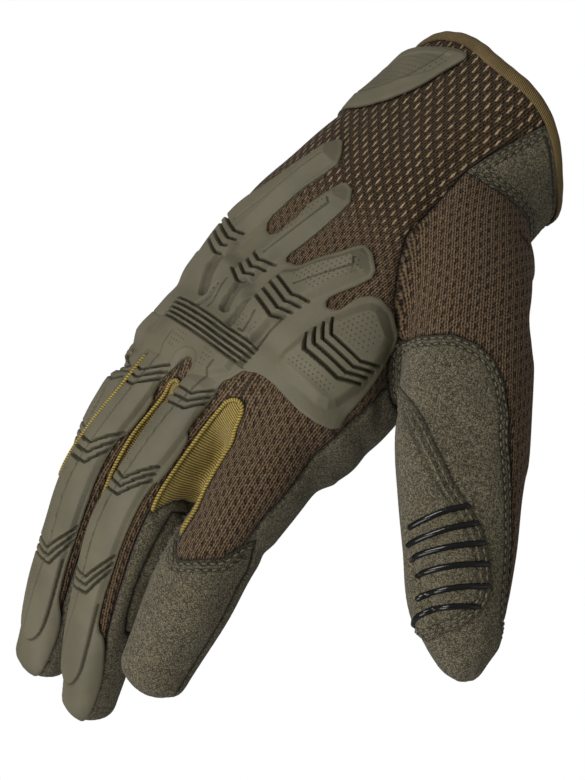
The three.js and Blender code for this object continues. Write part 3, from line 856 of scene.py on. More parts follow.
def knit_group():
    """Staggered cells of a knit: a raised float in each, an open hole between, and the fine stitches."""
    group, nodes, start, end = new_group("knit", ["Place", "Rough"], ["Float", "Hole", "Yarn"])
    split = nodes.split(start["Place"])
    wander = nodes.math("MULTIPLY_ADD", start["Rough"], 0.34, -0.17)
    u = nodes.math("ADD", split[0], wander)
    v = nodes.math("SUBTRACT", split[1], wander)
    stagger = nodes.odd(u, 0.5)
    across = nodes.in_cell(u)

    def oval(shift, slant, half_across, half_along):
        moved = nodes.math("ADD", nodes.math("ADD", v, stagger), shift)
        along = nodes.in_cell(moved)
        leaned = nodes.math("MULTIPLY_ADD", along, slant, across)
        a = nodes.math("DIVIDE", leaned, half_across)
        b = nodes.math("DIVIDE", along, half_along)
        return nodes.smooth(nodes.length(a, b), 0.6, 1.15, 1.0, 0.0)

    # Fine ribs along the cloth, each a chain of slanted stitches
    ribs = nodes.math("MULTIPLY", u, 3.0)
    rib_across = nodes.in_cell(ribs)
    rib_side = nodes.math("SUBTRACT", nodes.odd(ribs, 2.0), 1.0)
    slant = nodes.math("MULTIPLY", nodes.math("MULTIPLY", rib_across, rib_side), 0.6)
    stitches = nodes.math("MULTIPLY", nodes.math("MULTIPLY_ADD", v, 3.0, slant), 2 * pi)
    rib = nodes.math("COSINE", nodes.math("MULTIPLY", rib_across, 2 * pi))
    yarn = nodes.math("MULTIPLY_ADD", nodes.math("SINE", stitches), 0.4, nodes.math("MULTIPLY", rib, 0.75))
    finish_group(nodes, end, Float=oval(0.0, 0.3, 0.19, 0.4), Hole=oval(0.5, 0.45, 0.2, 0.34), Yarn=yarn)
    return group


def fibre_group():
    """Fine fibres and slow mottling of a napped cloth."""
    group, nodes, start, end = new_group("fibre", ["Place"], ["Fine", "Mottle", "Grain"])
    place = start["Place"]
    small = nodes.noise(place, 0.22, 1.0, 0.6)
    middle = nodes.noise(place, 0.9, 2.0, 0.6)
    fine = nodes.math("MULTIPLY_ADD", middle, 0.2, nodes.math("MULTIPLY", small, 0.8))
    mottle = nodes.noise(place, 9.0, 3.0, 0.55)
    cells = nodes.add("ShaderNodeTexVoronoi", {"Vector": place, "Scale": 1 / (0.3 * MM)})
    tone = nodes.add("ShaderNodeSeparateColor", {0: cells.outputs["Color"]}).outputs[0]
    rare = nodes.math("POWER", tone, 1.7)
    grain = nodes.math("MULTIPLY_ADD", rare, 0.8, nodes.math("MULTIPLY", middle, 0.2))
    fine = nodes.smooth(fine, 0.38, 0.62)
    finish_group(nodes, end, Fine=fine, Mottle=nodes.smooth(mottle, 0.3, 0.7), Grain=grain)
    return group


def rib_group():
    """Slanted ribs of a twill or a tape, in chart millimetres."""
    group, nodes, start, end = new_group("ribs", ["Place", "Pitch", "Slant"], ["Rib"])
    split = nodes.split(start["Place"])
    slanted = nodes.math("MULTIPLY_ADD", split[0], start["Slant"], split[1])
    turns = nodes.math("DIVIDE", slanted, start["Pitch"])
    wave = nodes.math("SINE", nodes.math("MULTIPLY", turns, 2 * pi))
    finish_group(nodes, end, Rib=nodes.math("MULTIPLY_ADD", wave, 0.5, 0.5))
    return group


def dot_group():
    """Staggered rows of small dots, in chart millimetres."""
    group, nodes, start, end = new_group("dots", ["Place", "Pitch"], ["Dot"])
    split = nodes.split(start["Place"])
    v = nodes.math("DIVIDE", split[1], start["Pitch"])
    u = nodes.math("ADD", nodes.math("DIVIDE", split[0], start["Pitch"]), nodes.odd(v, 0.5))
    across, along = nodes.in_cell(u), nodes.in_cell(v)
    finish_group(nodes, end, Dot=nodes.smooth(nodes.length(across, along), 0.1, 0.2, 1.0, 0.0))
    return group


# Screen colours of the finishes: the two that each is mixed from, and the darker colour painted into the
# rubber's pits as shade
KNIT_COARSE = srgb(60, 48, 33), srgb(138, 116, 90)
KNIT_CLOSE = srgb(94, 77, 58), srgb(48, 37, 26)
SUEDE = srgb(34, 31, 23), srgb(156, 146, 118)
STRAP_CLOTH = srgb(40, 36, 27), srgb(92, 82, 64)
TWILL = srgb(80, 67, 30), srgb(172, 149, 82)
PIPING = srgb(104, 88, 32), srgb(188, 164, 84)
TAPE = srgb(60, 47, 25), srgb(132, 110, 66)
THREAD = srgb(84, 78, 60), srgb(136, 128, 102)
RUBBER = srgb(95, 90, 71), srgb(105, 99, 79)
RUBBER_PIT_SHADE = srgb(66, 61, 47)
SILICONE = srgb(5, 5, 4), srgb(11, 10, 9)
FLOOR = srgb(236, 236, 234), srgb(241, 241, 240)
# What the slow mottling multiplies a suede and the strap's cloth with
SUEDE_PATCH = (0.86, 0.85, 0.82, 1)
STRAP_PATCH = (0.8, 0.8, 0.8, 1)
# How far apart the dots are that are pressed into the rubber
DOT_PITCH = 1.45

KNIT = knit_group()
DOTS = dot_group()
FIBRE = fibre_group()
RIBS = rib_group()


def new_material(name, roughness, **shader_values):
    """A material, its node maker, and its shader with constant values set on it."""
    material = bpy.data.materials.new(name)
    material.use_nodes = True
    nodes = Nodes(material.node_tree)
    shader = material.node_tree.nodes["Principled BSDF"]
    shader.inputs["Roughness"].default_value = roughness
    for label, value in shader_values.items():
        shader.inputs[label.replace("_", " ")].default_value = value
    return material, nodes, shader


def connect(nodes, shader, colour, normal):
    nodes.tree.links.new(colour, shader.inputs["Base Color"])
    nodes.tree.links.new(normal, shader.inputs["Normal"])


def knit_material():
    material, nodes, shader = new_material("knit_mesh", 0.95, Sheen_Weight=0.05, Specular_IOR_Level=0.12)
    fibre = nodes.group(FIBRE, Place=nodes.place())
    rough = nodes.noise(nodes.place(), 1.1, 2.0, 0.6)
    knit = nodes.group(KNIT, Place=nodes.chart(), Rough=rough)
    open_share = nodes.value("open")
    floated = nodes.math("MULTIPLY", knit["Float"], nodes.smooth(fibre["Mottle"], 0.0, 1.0, 0.7, 1.0))
    coarse = nodes.mix(floated, *KNIT_COARSE)
    sunk = nodes.math("MULTIPLY", knit["Hole"], nodes.smooth(fibre["Fine"], 0.0, 1.0, 1.0, 0.55))
    close = nodes.mix(sunk, *KNIT_CLOSE)
    colour = nodes.mix(open_share, close, coarse)
    plain = nodes.math("MULTIPLY", floated, open_share)
    yarn = nodes.smooth(nodes.math("MULTIPLY_ADD", plain, 0.8, knit["Yarn"]), -0.9, 1.0, 0.24, 1.6)
    fuzz = nodes.smooth(fibre["Fine"], 0.0, 1.0, 0.6, 1.35)
    # The yarn's ribs and stitches and the fibres vary the tone, and the shade value darkens the seams:
    # painted shade.
    shade = nodes.math("MULTIPLY", nodes.math("MULTIPLY", yarn, fuzz), nodes.value("shade"))
    colour = nodes.darken(colour, shade)
    raised = nodes.math("MULTIPLY", knit["Float"], open_share)
    dipped = nodes.math("MULTIPLY", sunk, nodes.math("SUBTRACT", 1.0, open_share))
    height = nodes.math("MULTIPLY_ADD", knit["Yarn"], 0.16, nodes.math("SUBTRACT", raised, dipped))
    connect(nodes, shader, colour, nodes.bump(height, 0.5, 1.0))
    return material


def suede_material(name, dark, light, patch, bump=0.22):
    finish = dict(Sheen_Weight=0.12, Sheen_Roughness=0.5, Specular_IOR_Level=0.1)
    material, nodes, shader = new_material(name, 0.97, **finish)
    fibre = nodes.group(FIBRE, Place=nodes.place())
    colour = nodes.mix(fibre["Grain"], dark, light)
    colour = nodes.darken(colour, nodes.mix(fibre["Mottle"], patch, (1, 1, 1, 1)))
    # The shade value darkens the seams, stitch rows and the pad's edge: painted shade.
    colour = nodes.darken(colour, nodes.value("shade"))
    connect(nodes, shader, colour, nodes.bump(fibre["Fine"], bump, 0.9))
    return material


def rubber_material():
    material, nodes, shader = new_material("moulded_rubber", 0.58, Specular_IOR_Level=0.35)
    place = nodes.place()
    slow = nodes.smooth(nodes.noise(place, 14.0, 3.0), 0.3, 0.7)
    grain = nodes.noise(place, 0.35, 2.0)
    colour = nodes.mix(slow, *RUBBER)
    dots = nodes.group(DOTS, Place=nodes.chart(), Pitch=DOT_PITCH)["Dot"]
    pits = nodes.math("MULTIPLY", nodes.value("pits"), dots)
    # The pressed dots are darkened towards the pit colour: painted shade in the pits.
    colour = nodes.mix(nodes.math("MULTIPLY", pits, 0.8), colour, RUBBER_PIT_SHADE)
    # The shade value darkens the grooves, hollows and notch rims: painted shade.
    colour = nodes.darken(colour, nodes.value("shade"))
    height = nodes.math("MULTIPLY_ADD", pits, -3.0, grain)
    connect(nodes, shader, colour, nodes.bump(height, 0.09, 0.8))
    return material


def ribbed_material(name, dark, light, pitch, slant, roughness=0.85, bump=0.18):
    material, nodes, shader = new_material(name, roughness, Sheen_Weight=0.1, Specular_IOR_Level=0.2)
    rib = nodes.group(RIBS, Place=nodes.chart(), Pitch=pitch, Slant=slant)["Rib"]
    fibre = nodes.group(FIBRE, Place=nodes.place())
    colour = nodes.mix(rib, dark, light)
    # The shade value darkens the webs' seams: painted shade.
    colour = nodes.darken(colour, nodes.value("shade"))
    fuzz = nodes.smooth(fibre["Fine"], 0.0, 1.0, 0.8, 1.15)
    slow = nodes.smooth(fibre["Mottle"], 0.0, 1.0, 0.9, 1.08)
    colour = nodes.darken(colour, nodes.math("MULTIPLY", fuzz, slow))
    connect(nodes, shader, colour, nodes.bump(rib, bump, 0.8))
    return material


def silicone_material():
    material, nodes, shader = new_material("silicone", 0.12, Specular_IOR_Level=0.42)
    place = nodes.place()
    colour = nodes.mix(nodes.noise(place, 5.0), *SILICONE)
    connect(nodes, shader, colour, nodes.bump(nodes.noise(place, 1.2, 2.0), 0.12, 0.6))
    return material


MATERIALS = {
    "knit_mesh": knit_material(),
    "suede": suede_material("suede", *SUEDE, SUEDE_PATCH),
    "twill": ribbed_material("twill", *TWILL, 0.95, 0.9, bump=0.25),
    "piping": ribbed_material("piping", *PIPING, 0.9, 0.35, bump=0.35),
    "tape": ribbed_material("tape", *TAPE, 0.62, 0.35),
    "strap_cloth": suede_material("strap_cloth", *STRAP_CLOTH, STRAP_PATCH),
    "moulded_rubber": rubber_material(),
    "silicone": silicone_material(),
    "thread": ribbed_material("thread", *THREAD, 0.4, 1.0, bump=0.1),
}


def finish_piece(obj, material, nodes=()):
    """Give a piece its material, its body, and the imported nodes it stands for."""
    obj.data.materials.clear()
    obj.data.materials.append(MATERIALS[material])
    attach(obj, "root")
    if nodes:
        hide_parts(*nodes)


def plain_piece(name, mesh, material, nodes=()):
    """A piece from its points, faces and UV, with no seams to shade."""
    points, faces, uv = mesh
    finish_piece(mesh_object(name, points, faces, uv, shade=np.ones(len(points))), material, nodes)


# Cloth panels

# Seams on the palm's chart: millimetres round it, row z
GUSSET = [
    (40, 16), (36.5, 6), (35, 3), (32.5, -6.5), (30.8, -15), (29.5, -23.5), (36, -21.5), (42, -19),
    (48, -16.5), (54, -14.5), (62, -16), (68, -16), (68, 16),
]
THUMB_ROOT = [
    (29.5, -23.5), (31.3, -38.9), (31.9, -49), (36.2, -56.5), (43.6, -66.5), (50.6, -71.6), (56, -76),
    (60, -83), (68, -83), (75, -74), (78, -60), (76, -46), (70, -34), (68, -24), (66, -16), (54, -14.5),
    (48, -16.5), (42, -19), (36, -21.5),
]
BACK_PANEL = [
    (-58, 22), (60, 22), (58, -44), (56, -84), (54.8, -104), (53, -113), (46, -131), (-44, -131),
    (-62, -112), (-66, -84), (-63, -44),
]
# Seams on the thumb's chart: millimetres along it, share of half a turn from the side that faces out
THUMB_FRONT = [
    (66.8, 0.40), (67.3, 0.30), (68.3, 0.20), (69.0, 0.08), (71.5, -0.04), (75.2, -0.12), (81.7, -0.18),
    (98.3, -0.23), (111.7, -0.28), (128, -0.32), (139.6, -0.36), (146, -0.42), (149, -0.56), (175, -0.56),
    (175, 1.02), (38, 1.02), (48, 0.72), (62, 0.55),
]
THUMB_TIP_FROM = 150
# The thumb's second layer
THUMB_PAD = [
    (80, 0.42), (84.2, 0.34), (94.2, 0.20), (101.6, 0.12), (109, 0.05), (114.4, -0.02), (121, -0.09),
    (128.4, -0.14), (136.3, -0.17), (140.7, -0.15), (143.4, -0.09), (147, 0.05), (150, 0.3), (148, 0.66),
    (130, 0.8), (100, 0.8), (82, 0.62),
]
# The mesh back of each finger, and its twill wall on each side: millimetres along, share of half a turn
FINGER_BACKS = {
    "index": [
        (6, -0.13), (62.7, -0.13), (80.1, -0.1), (95, -0.07), (95, 0.43), (60.1, 0.43), (45, 0.48), (6, 0.5),
    ],
    "middle": [(6, -0.3), (60, -0.28), (136, -0.33), (136, 0.34), (80, 0.32), (6, 0.28)],
    "ring": [
        (6, -0.24), (60, -0.22), (90, -0.24), (133, -0.33), (136, 0.34), (84, 0.33), (60, 0.27), (6, 0.3),
    ],
    "pinky": [(6, -0.42), (110, -0.4), (112, 0.34), (76, 0.32), (6, 0.28)],
}
FINGER_WALLS = {
    ("index", -1): [
        (20, -0.13), (62.7, -0.13), (80.1, -0.1), (74, -0.3), (64, -0.55), (54, -0.8), (20, -0.8),
    ],
    ("middle", 1): [(20, 0.28), (43.6, 0.28), (80.8, 0.32), (72.6, 0.40), (64.3, 0.58), (56, 0.8), (20, 0.8)],
    ("middle", -1): [(20, -0.3), (60, -0.28), (82, -0.31), (74, -0.42), (64, -0.6), (54, -0.8), (20, -0.8)],
    ("ring", 1): [(20, 0.3), (59.6, 0.27), (84.7, 0.33), (76, 0.42), (66, 0.6), (56, 0.8), (20, 0.8)],
    ("ring", -1): [(20, -0.24), (60, -0.22), (90, -0.24), (78, -0.42), (66, -0.6), (54, -0.8), (20, -0.8)],
    ("pinky", 1): [(20, 0.3), (50, 0.28), (76, 0.32), (70, 0.45), (60, 0.6), (50, 0.8), (20, 0.8)],
}
# The webs between the fingers: the finger on each side and the top of the web on the palm's chart
WEBS = {
    "fourchette_index": ("index", "middle", (25, -120)),
    "fourchette_middle": ("middle", "ring", (0.2, -125)),
    "fourchette_ring": ("ring", "pinky", (-27.8, -126)),
}
# A web's radius, the rounds that even its edge and its cloth, and which way it runs into the hand
WEB_RADIUS = 3.4
WEB_ROUNDS = 4
WEB_CLOTH_ROUNDS = 6
WEB_DEPTH = (0, 22, -7)
# How far off the thumb's chart, and from where along it, the cloth belongs to the thumb
THUMB_TUBE = (3.2, 34)
# The suede cap of the index finger, on that finger's chart
INDEX_CAP = [
    (72, -0.5), (74, -0.3), (80.1, -0.10), (82.8, -0.02), (81, 0.1), (78.7, 0.19), (75.8, 0.33),
    (70.4, 0.41), (66, 0.5), (75, 0.6), (132, 0.6), (132, -0.5),
]


def zone(reading, name, outline, reach=5.0):
    """How far points lie inside an outline on one chart and close to its surface."""
    u, v, height = reading[name]
    scale = 1 if name == "palm" else SHARE_MM
    if name == "thumb":
        v = np.where(v < -0.6, v + 2, v)
    line = np.asarray(outline, float) * (1, scale)
    return np.minimum(inside_gap(line, u, v * scale), reach - height)


def gusset_zone(reading):
    return zone(reading, "palm", GUSSET, 8.0)


def thumb_zone(reading):
    along, _, height = reading["thumb"]
    tube = np.minimum(THUMB_TUBE[0] - height, along - THUMB_TUBE[1])
    return np.maximum(zone(reading, "palm", THUMB_ROOT, 9.0), tube)


def thumb_front_zone(reading):
    along = reading["thumb"][0]
    return np.maximum(zone(reading, "thumb", THUMB_FRONT, 9.0), along - THUMB_TIP_FROM)


def segment_gap(points, start, end):
    way = end - start
    t = np.clip((points - start) @ way / (way @ way), 0, 1)
    return np.linalg.norm(points - start - t[:, None] * way, axis=1)


def web_zone(reading, node):
    near_finger, far_finger, top = WEBS[node]
    start = palm.place(*top, 0)[0]
    web = WEB_RADIUS - segment_gap(reading.points, start, start + np.array(WEB_DEPTH))
    walls = [
        zone(reading, near_finger, FINGER_WALLS[near_finger, -1], 3.5),
        zone(reading, far_finger, FINGER_WALLS[far_finger, 1], 3.5),
    ]
    return np.maximum.reduce([web, *walls])


def cap_zone(reading):
    return zone(reading, "index", INDEX_CAP, 4.0)


def back_zone(reading):
    fingers = [zone(reading, name, outline, 4.0) for name, outline in FINGER_BACKS.items()]
    return np.maximum.reduce([zone(reading, "palm", BACK_PANEL, 6.0), *fingers])


# Columns and rows of the knit's cells in millimetres, near the cuff and at the knuckles
KNIT_CUFF = (2.9, 3.9)
KNIT_KNUCKLES = (2.2, 3.2)
KNIT_FINGERS = (2.3, 3.4)
KNUCKLES_AT = -80
CHARTS_MEET_AT = -105
THUMB_SEAM = 0.5
# The levels between which the open knit becomes close, and how far apart the fingers' cells are numbered
OPEN_KNIT = (-66, -42)
CELL_SHIFT = 40


def knit_cells(reading, on_thumb):
    """UV in cells of the knit, stretched wide near the cuff, and the share of open knit."""
    around, level, _ = reading["palm"]
    share = np.clip(level / KNUCKLES_AT, 0, 1)
    column = KNIT_CUFF[0] + (KNIT_KNUCKLES[0] - KNIT_CUFF[0]) * share
    heights = np.arange(-140.0, 30.0)
    pitch = KNIT_CUFF[1] + (KNIT_KNUCKLES[1] - KNIT_CUFF[1]) * np.clip(heights / KNUCKLES_AT, 0, 1)
    rows = np.cumsum(1 / pitch)
    u, v = around / column, np.interp(level, heights, rows)
    if on_thumb:
        along, turn, _ = reading["thumb"]
        turn = np.where(turn > THUMB_SEAM, turn - 2, turn) * digits["thumb"].half_girth(along)
        return np.stack([turn / KNIT_FINGERS[0], -along / KNIT_FINGERS[1]], -1), np.zeros(len(level))
    fingers = [name for name in digits if name != "thumb"]
    closest = np.argmin([np.abs(reading[name][2]) for name in fingers], axis=0)
    for number, name in enumerate(fingers):
        along, turn, _ = reading[name]
        own = (closest == number) & (level < CHARTS_MEET_AT)
        turn = turn * digits[name].half_girth(along)
        u = np.where(own, turn / KNIT_FINGERS[0] + CELL_SHIFT * (number + 1), u)
        v = np.where(own, -along / KNIT_FINGERS[1], v)
    return np.stack([u, v], -1), ramp(level, *OPEN_KNIT)


def flat_chart(reading):
    """UV in chart millimetres, from the nearest chart."""
    closest = np.argmin([np.abs(reading[name][2]) for name in CHARTS], axis=0)
    uv = np.zeros((len(reading.points), 2))
    for number, name in enumerate(CHARTS):
        u, v = reading.flat(name)
        uv = np.where((closest == number)[:, None], np.stack([u, v], -1), uv)
    return uv


def edge_distance(points, faces, reach=4.0):
    """Distance of each point from the mesh's open edge, up to a reach."""
    tree = tree_of(points[open_points(faces)])
    return np.array([min(tree.find(place)[2], reach) for place in points])


# Faces this close to a seam with stitch rows are halved
SEAM_FINE = 5.0
# Painted shade: how dark the cloth is in a seam, and how much darker under a stitch row
SEAM_SHADE = 0.34
ROW_SHADE = 0.8
STITCH_SINK = 0.4
# How wide a seam's and a row's painted shade is, how wide a row is sunk, and where the cloth has its full
# height
SEAM_DARK = 1.1
ROW_DARK = 0.5
ROW_WIDTH = 0.55
FULL_LIFT = 0.7
TWILL_TURN = 0.7
# Where a seam has two stitch rows, how far they lie from it
DOUBLE_ROW = (1.2, 3.0)
# How far the sewn suede stands over the skin
PALM_LIFT = 0.3
SUEDE_LIFT = 0.35
# The margin of skin that is made finer round a patch, and the rounds that even out its points and a field
PATCH_MARGIN = 2.5
PATCH_ROUNDS = 3
EVEN_ROUNDS = 10


def seam_rise(gap, lift, rows=()):
    """A panel's height over the skin at a distance from its seam."""
    rise = lift * ramp(gap, 0, SEAM_WIDTH * FULL_LIFT) - SEAM_DIP * (1 - slope(gap, 0, SEAM_WIDTH)) ** 2
    for row in rows:
        rise = rise - STITCH_SINK * bell(gap - row, ROW_WIDTH)
    return rise


def cap_top(reading):
    """1 by the seam across the index finger's back, and 0 by the cap's other seams."""
    along, turn, _ = reading["index"]
    return (1 - ramp(along, 86, 92)) * (1 - ramp(np.abs(turn - 0.15), 0.3, 0.4))


def fine_seams(points, faces):
    """The mesh with smaller faces along its open edge."""
    gap = edge_distance(points, faces, SEAM_FINE)
    return refine(points, faces, gap[faces].min(1) < SEAM_FINE - 0.5)


def sew_panel(name, points, faces, material, lift=0.0, rows=(), near=None):
    """A cloth panel, its edges sunk into the seams, its stitch rows pulled in and its thickness inwards."""
    if rows:
        points, faces = fine_seams(points, faces)
    reading = Reading(points)
    gap = edge_distance(points, faces)
    sewn = near(reading) if near else 1.0
    plain = seam_rise(gap, lift)
    rise = plain + (seam_rise(gap, lift, rows) - plain) * sewn
    uv, open_share = flat_chart(reading), np.zeros(len(points))
    if material == "knit_mesh":
        uv, open_share = knit_cells(reading, name == "thumb_mesh")
    elif material == "twill":
        uv = np.stack([(points[:, 0] - points[:, 1]) * TWILL_TURN, points[:, 2]], -1)
    # Painted shade: darker in the seams and along the stitch rows.
    shade = SEAM_SHADE + (1 - SEAM_SHADE) * ramp(gap, 0, SEAM_DARK)
    for row in rows:
        shade *= 1 - ROW_SHADE * bell(gap - row, ROW_DARK) * sewn
    points = points + normals_of(points, faces) * rise[:, None]
    obj = mesh_object(name + "_cloth", points, faces, uv, open=open_share, shade=shade)
    apply_modifier(obj, "SOLIDIFY", thickness=CLOTH * MM, offset=-1, use_even_offset=False)
    finish_piece(obj, material, [name])


def part_cloth():
    """The skin parted into its panels, from the cuff's edge down. The palm is what is left."""
    rim = cuff_edge(skin_reading["palm"][0]) - skin_reading["palm"][1]
    cloth, _ = cut(skin_points, skin_faces, rim)
    fields = {"wrist_gusset": gusset_zone, "thumb": thumb_zone}
    for node in WEBS:
        fields[node] = lambda reading, node=node: web_zone(reading, node)
    fields.update(index_cap=cap_zone, back_mesh=back_zone)
    parts = {}
    for name, field in fields.items():
        rounds = WEB_ROUNDS if name in WEBS else 0
        parts[name], cloth = cut(*cloth, calm(field(Reading(cloth[0])), cloth[1], rounds))
    thumb = parts.pop("thumb")
    parts["thumb_suede"], parts["thumb_mesh"] = cut(*thumb, thumb_front_zone(Reading(thumb[0])))
    parts["palm_suede"] = cloth
    return parts


def skin_patch(field_of, even_at=None):
    """The skin where a field is above 0, in finer faces. The field can be evened out in places."""
    near = skin_faces[field_of(skin_reading)[skin_faces].max(1) > -PATCH_MARGIN]
    points, faces = refine(*compact(skin_points, near))
    points = relax(points, faces, PATCH_ROUNDS)
    reading = Reading(points)
    field = field_of(reading)
    if even_at:
        field = field + (calm(field, faces, EVEN_ROUNDS) - field) * even_at(reading)
    return cut(points, faces, field)[0]


panels = part_cloth()
sew_panel("back_mesh", *panels["back_mesh"], "knit_mesh")
sew_panel("thumb_mesh", *panels["thumb_mesh"], "knit_mesh")
sew_panel("palm_suede", *panels["palm_suede"], "suede", PALM_LIFT)
sew_panel("wrist_gusset", *panels["wrist_gusset"], "suede", SUEDE_LIFT, DOUBLE_ROW)
sew_panel("thumb_suede", *panels["thumb_suede"], "suede", SUEDE_LIFT, DOUBLE_ROW)
sew_panel("index_cap", *panels["index_cap"], "suede", SUEDE_LIFT, DOUBLE_ROW, cap_top)
for node in WEBS:
    points, faces = panels[node]
    sew_panel(node, relax(points, faces, WEB_CLOTH_ROUNDS, back=0.0), faces, "twill")


# The moulded guard

# Outlines of the guard on the palm's chart: millimetres round it, row z
GUARD_OUTLINES = {
    "far_bar": [
        (-15.5, -36.3), (-12.6, -36.5), (-11, -37.8), (-8.3, -40), (-6, -43), (-6.8, -47.5), (-8.5, -52.5),
        (-10, -58), (-11, -63), (-12.2, -67), (-12, -70), (-10, -72.3), (-7, -73), (-4.6, -71.5), (-2, -80),
        (-2, -92), (-44, -92), (-38, -80), (-32, -68), (-26, -59), (-22.5, -52), (-18.5, -44),
    ],
    "middle_bar": [
        (3.5, -47), (7, -48), (10, -51.5), (9.8, -56), (9, -60), (8, -64.5), (6, -70.5), (4.6, -74.2),
        (4.4, -76), (5.6, -77.4), (8, -77), (8, -82), (4, -92), (-12, -92), (-10, -80), (-6.5, -73),
        (-4.6, -71), (-4.4, -69), (-3, -65), (-2.5, -58), (-0.5, -52.5), (2, -47.8),
    ],
    "near_bar": [
        (25, -59.5), (28.5, -60.3), (32.8, -63.6), (33.5, -66), (31.5, -70.5), (28.5, -75), (26.8, -78),
        (26.6, -80), (28, -81.3), (30, -81), (31, -84), (24, -92), (2.5, -92), (4.6, -78), (8, -77),
        (11, -75.5), (14.5, -71), (19.5, -66), (23, -61),
    ],
    "index_plate": [
        (30, -81), (32, -79), (33, -76), (34.5, -72.5), (37, -70), (40, -69), (45, -69.6), (50, -73),
        (52.3, -76.5), (52.8, -83), (53.2, -95), (54, -103.5), (52, -105.6), (47, -107.6), (41.5, -108.5),
        (34.5, -108), (26.5, -107), (23, -108), (21, -109), (21, -90),
    ],
    "knuckle_plate": [
        (-41, -84), (-13, -80), (-7, -80), (2.5, -82), (12, -84), (22, -86), (30, -92), (30, -107),
        (23, -108), (19.6, -110), (18, -114), (12, -119), (5.5, -120.5), (4.3, -118.8), (3.4, -116.8),
        (1.6, -115.7), (-1, -115.7), (-2.6, -117.6), (-3.8, -120.5), (-7, -124.5), (-21, -126.5),
        (-25, -129), (-50, -129), (-49, -112), (-46, -100),
    ],
}
GUARD_FILLET = 1.6
# The raised tops of the guard's bars: the width of their slanted sides, the outline, and a line along
# the broad side, where they have one, with that side's width
GUARD_TOPS = {
    "far_bar": (2.0, [
        (-15.2, -37.2), (-12.8, -37.4), (-11.4, -38.6), (-9, -40.7), (-7.2, -43.5), (-7.8, -47.5),
        (-9.5, -52.8), (-11, -58), (-12, -63), (-13, -68), (-13.8, -74), (-14.2, -80), (-13.6, -86),
        (-11.6, -92), (-10.6, -98), (-10.4, -104), (-41, -104), (-40, -86), (-36, -76), (-31, -68),
        (-25.5, -60), (-21.5, -52.5), (-18, -45), (-16.8, -39.5),
    ], [(-7.2, -43.5), (-9.5, -52.8), (-12, -63), (-14.4, -74), (-15.4, -80)], 4.6),
    "middle_bar": (2.0, [
        (3.6, -48.2), (6.8, -49), (8.9, -52), (8.7, -56), (7.8, -60), (6.8, -64.5), (4.8, -70.5),
        (3.2, -75.5), (2.6, -80), (1.8, -85.5), (1.6, -91), (1.5, -97), (1.8, -104), (-13, -104),
        (-13, -97), (-11.5, -92), (-10, -86), (-8.4, -80), (-5.5, -75), (-3.4, -69.5), (-1.9, -65),
        (-1.4, -58), (0.6, -52.7), (2.8, -48.8),
    ], [(8.9, -52), (8.7, -56), (6.8, -64.5), (3.2, -75.5), (2.6, -80)], 4.0),
    "near_bar": (2.0, [
        (25, -60.8), (28, -61.6), (31.8, -64.5), (32.3, -66.3), (30.4, -70.2), (27.3, -75), (25.2, -79),
        (22.6, -84), (19.8, -90), (17.2, -95), (16.4, -104), (1.6, -104), (2.6, -96), (4.2, -89), (5, -84),
        (7, -79.5), (11.5, -76.8), (15.3, -72), (20.3, -66.8), (23.8, -62.2),
    ], [(32.3, -66.3), (27.3, -75), (22.6, -84)], 3.0),
    "middle_plate": (4.5, [
        (-46, -82), (-18, -82), (-8, -83), (0, -85), (4, -89), (9, -91), (16.4, -92), (16.4, -112),
        (-46, -112),
    ], [], 0),
    "finger_plate": (1.8, [
        (-46, -104), (16, -104), (17.2, -113), (11, -118), (5, -121), (-8, -125), (-46, -127),
    ], [], 0),
    "index_plate": (2.6, [
        (25.8, -101.5), (25.6, -98), (27.5, -90), (29.5, -84), (32.5, -80), (36.2, -74.3), (38.2, -71.8),
        (40.5, -70.8), (44, -71.2), (50, -74.8), (51.4, -79), (51.6, -91.5), (49.8, -100.5), (47.5, -103.2),
        (43.5, -104.4), (30, -104.4), (27, -103.4),
    ], [(50.6, -75.5), (51.4, -79), (51.6, -91.5), (49.8, -100.5)], 4.2),
}
TOP_RISE = 2.1
GUARD_BASE = 1.0
# The slanted faces at the bars' ends: a line along each and its width
BAR_ENDS = [
    ([(-15.2, -37.2), (-12.8, -37.4), (-11.4, -38.6), (-9, -40.7), (-7.2, -43.5)], 3.9),
    ([(3.6, -48.2), (6.8, -49), (8.9, -52), (8.8, -54)], 4.0),
    ([(28, -61.6), (31.8, -64.5), (32.3, -66.3), (31.6, -68)], 4.4),
    ([(44, -71.2), (50, -74.8), (51.4, -79)], 3.4),
]
# Hollows pressed into the bars: the outline and the depth
HOLLOWS = [
    ([(-19.5, -89.5), (-18.4, -93), (-17, -96.8), (-16.2, -98.4), (-15, -99.2), (-13.6, -98.6),
      (-12.8, -97), (-13, -95), (-14.3, -92.2), (-15, -89.5), (-15.8, -86.2), (-17.6, -85.4),
      (-19.3, -86.2)], 1.6),
    ([(-4.2, -89.5), (-3.8, -92), (-4.3, -95.5), (-4.3, -98.2), (-3.2, -99.7), (-1.2, -99.8), (0.4, -98.4),
      (-0.3, -96.5), (-0.4, -94.5), (-0.4, -91), (0.2, -88.5), (-1.8, -88), (-3.4, -88.4)], 1.6),
    ([(5.6, -90.6), (4.2, -92.5), (3, -95.5), (2.7, -102.6), (6, -102.6), (5.8, -98.5), (5.6, -94)], 1.2),
    ([(-10, -93), (-11.3, -96), (-12.2, -99.5), (-13.2, -102.6), (-11.2, -102.6), (-10.7, -100),
      (-10, -96.5)], 0.9),
]
HOLLOW_CORNER = 0.5
HOLLOW_WALL = 1.1
# How dark the painted shade inside a hollow is
HOLLOW_SHADE = 0.5
# Where the guard slopes down to a notch between two fingers: a line in the notch and the slope's reach
NOTCHES = [[(0.2, -118.6), (-3.6, -131)], [(-29, -125), (-33, -136)]]
NOTCH_SLOPE = (2.6, 5.4)
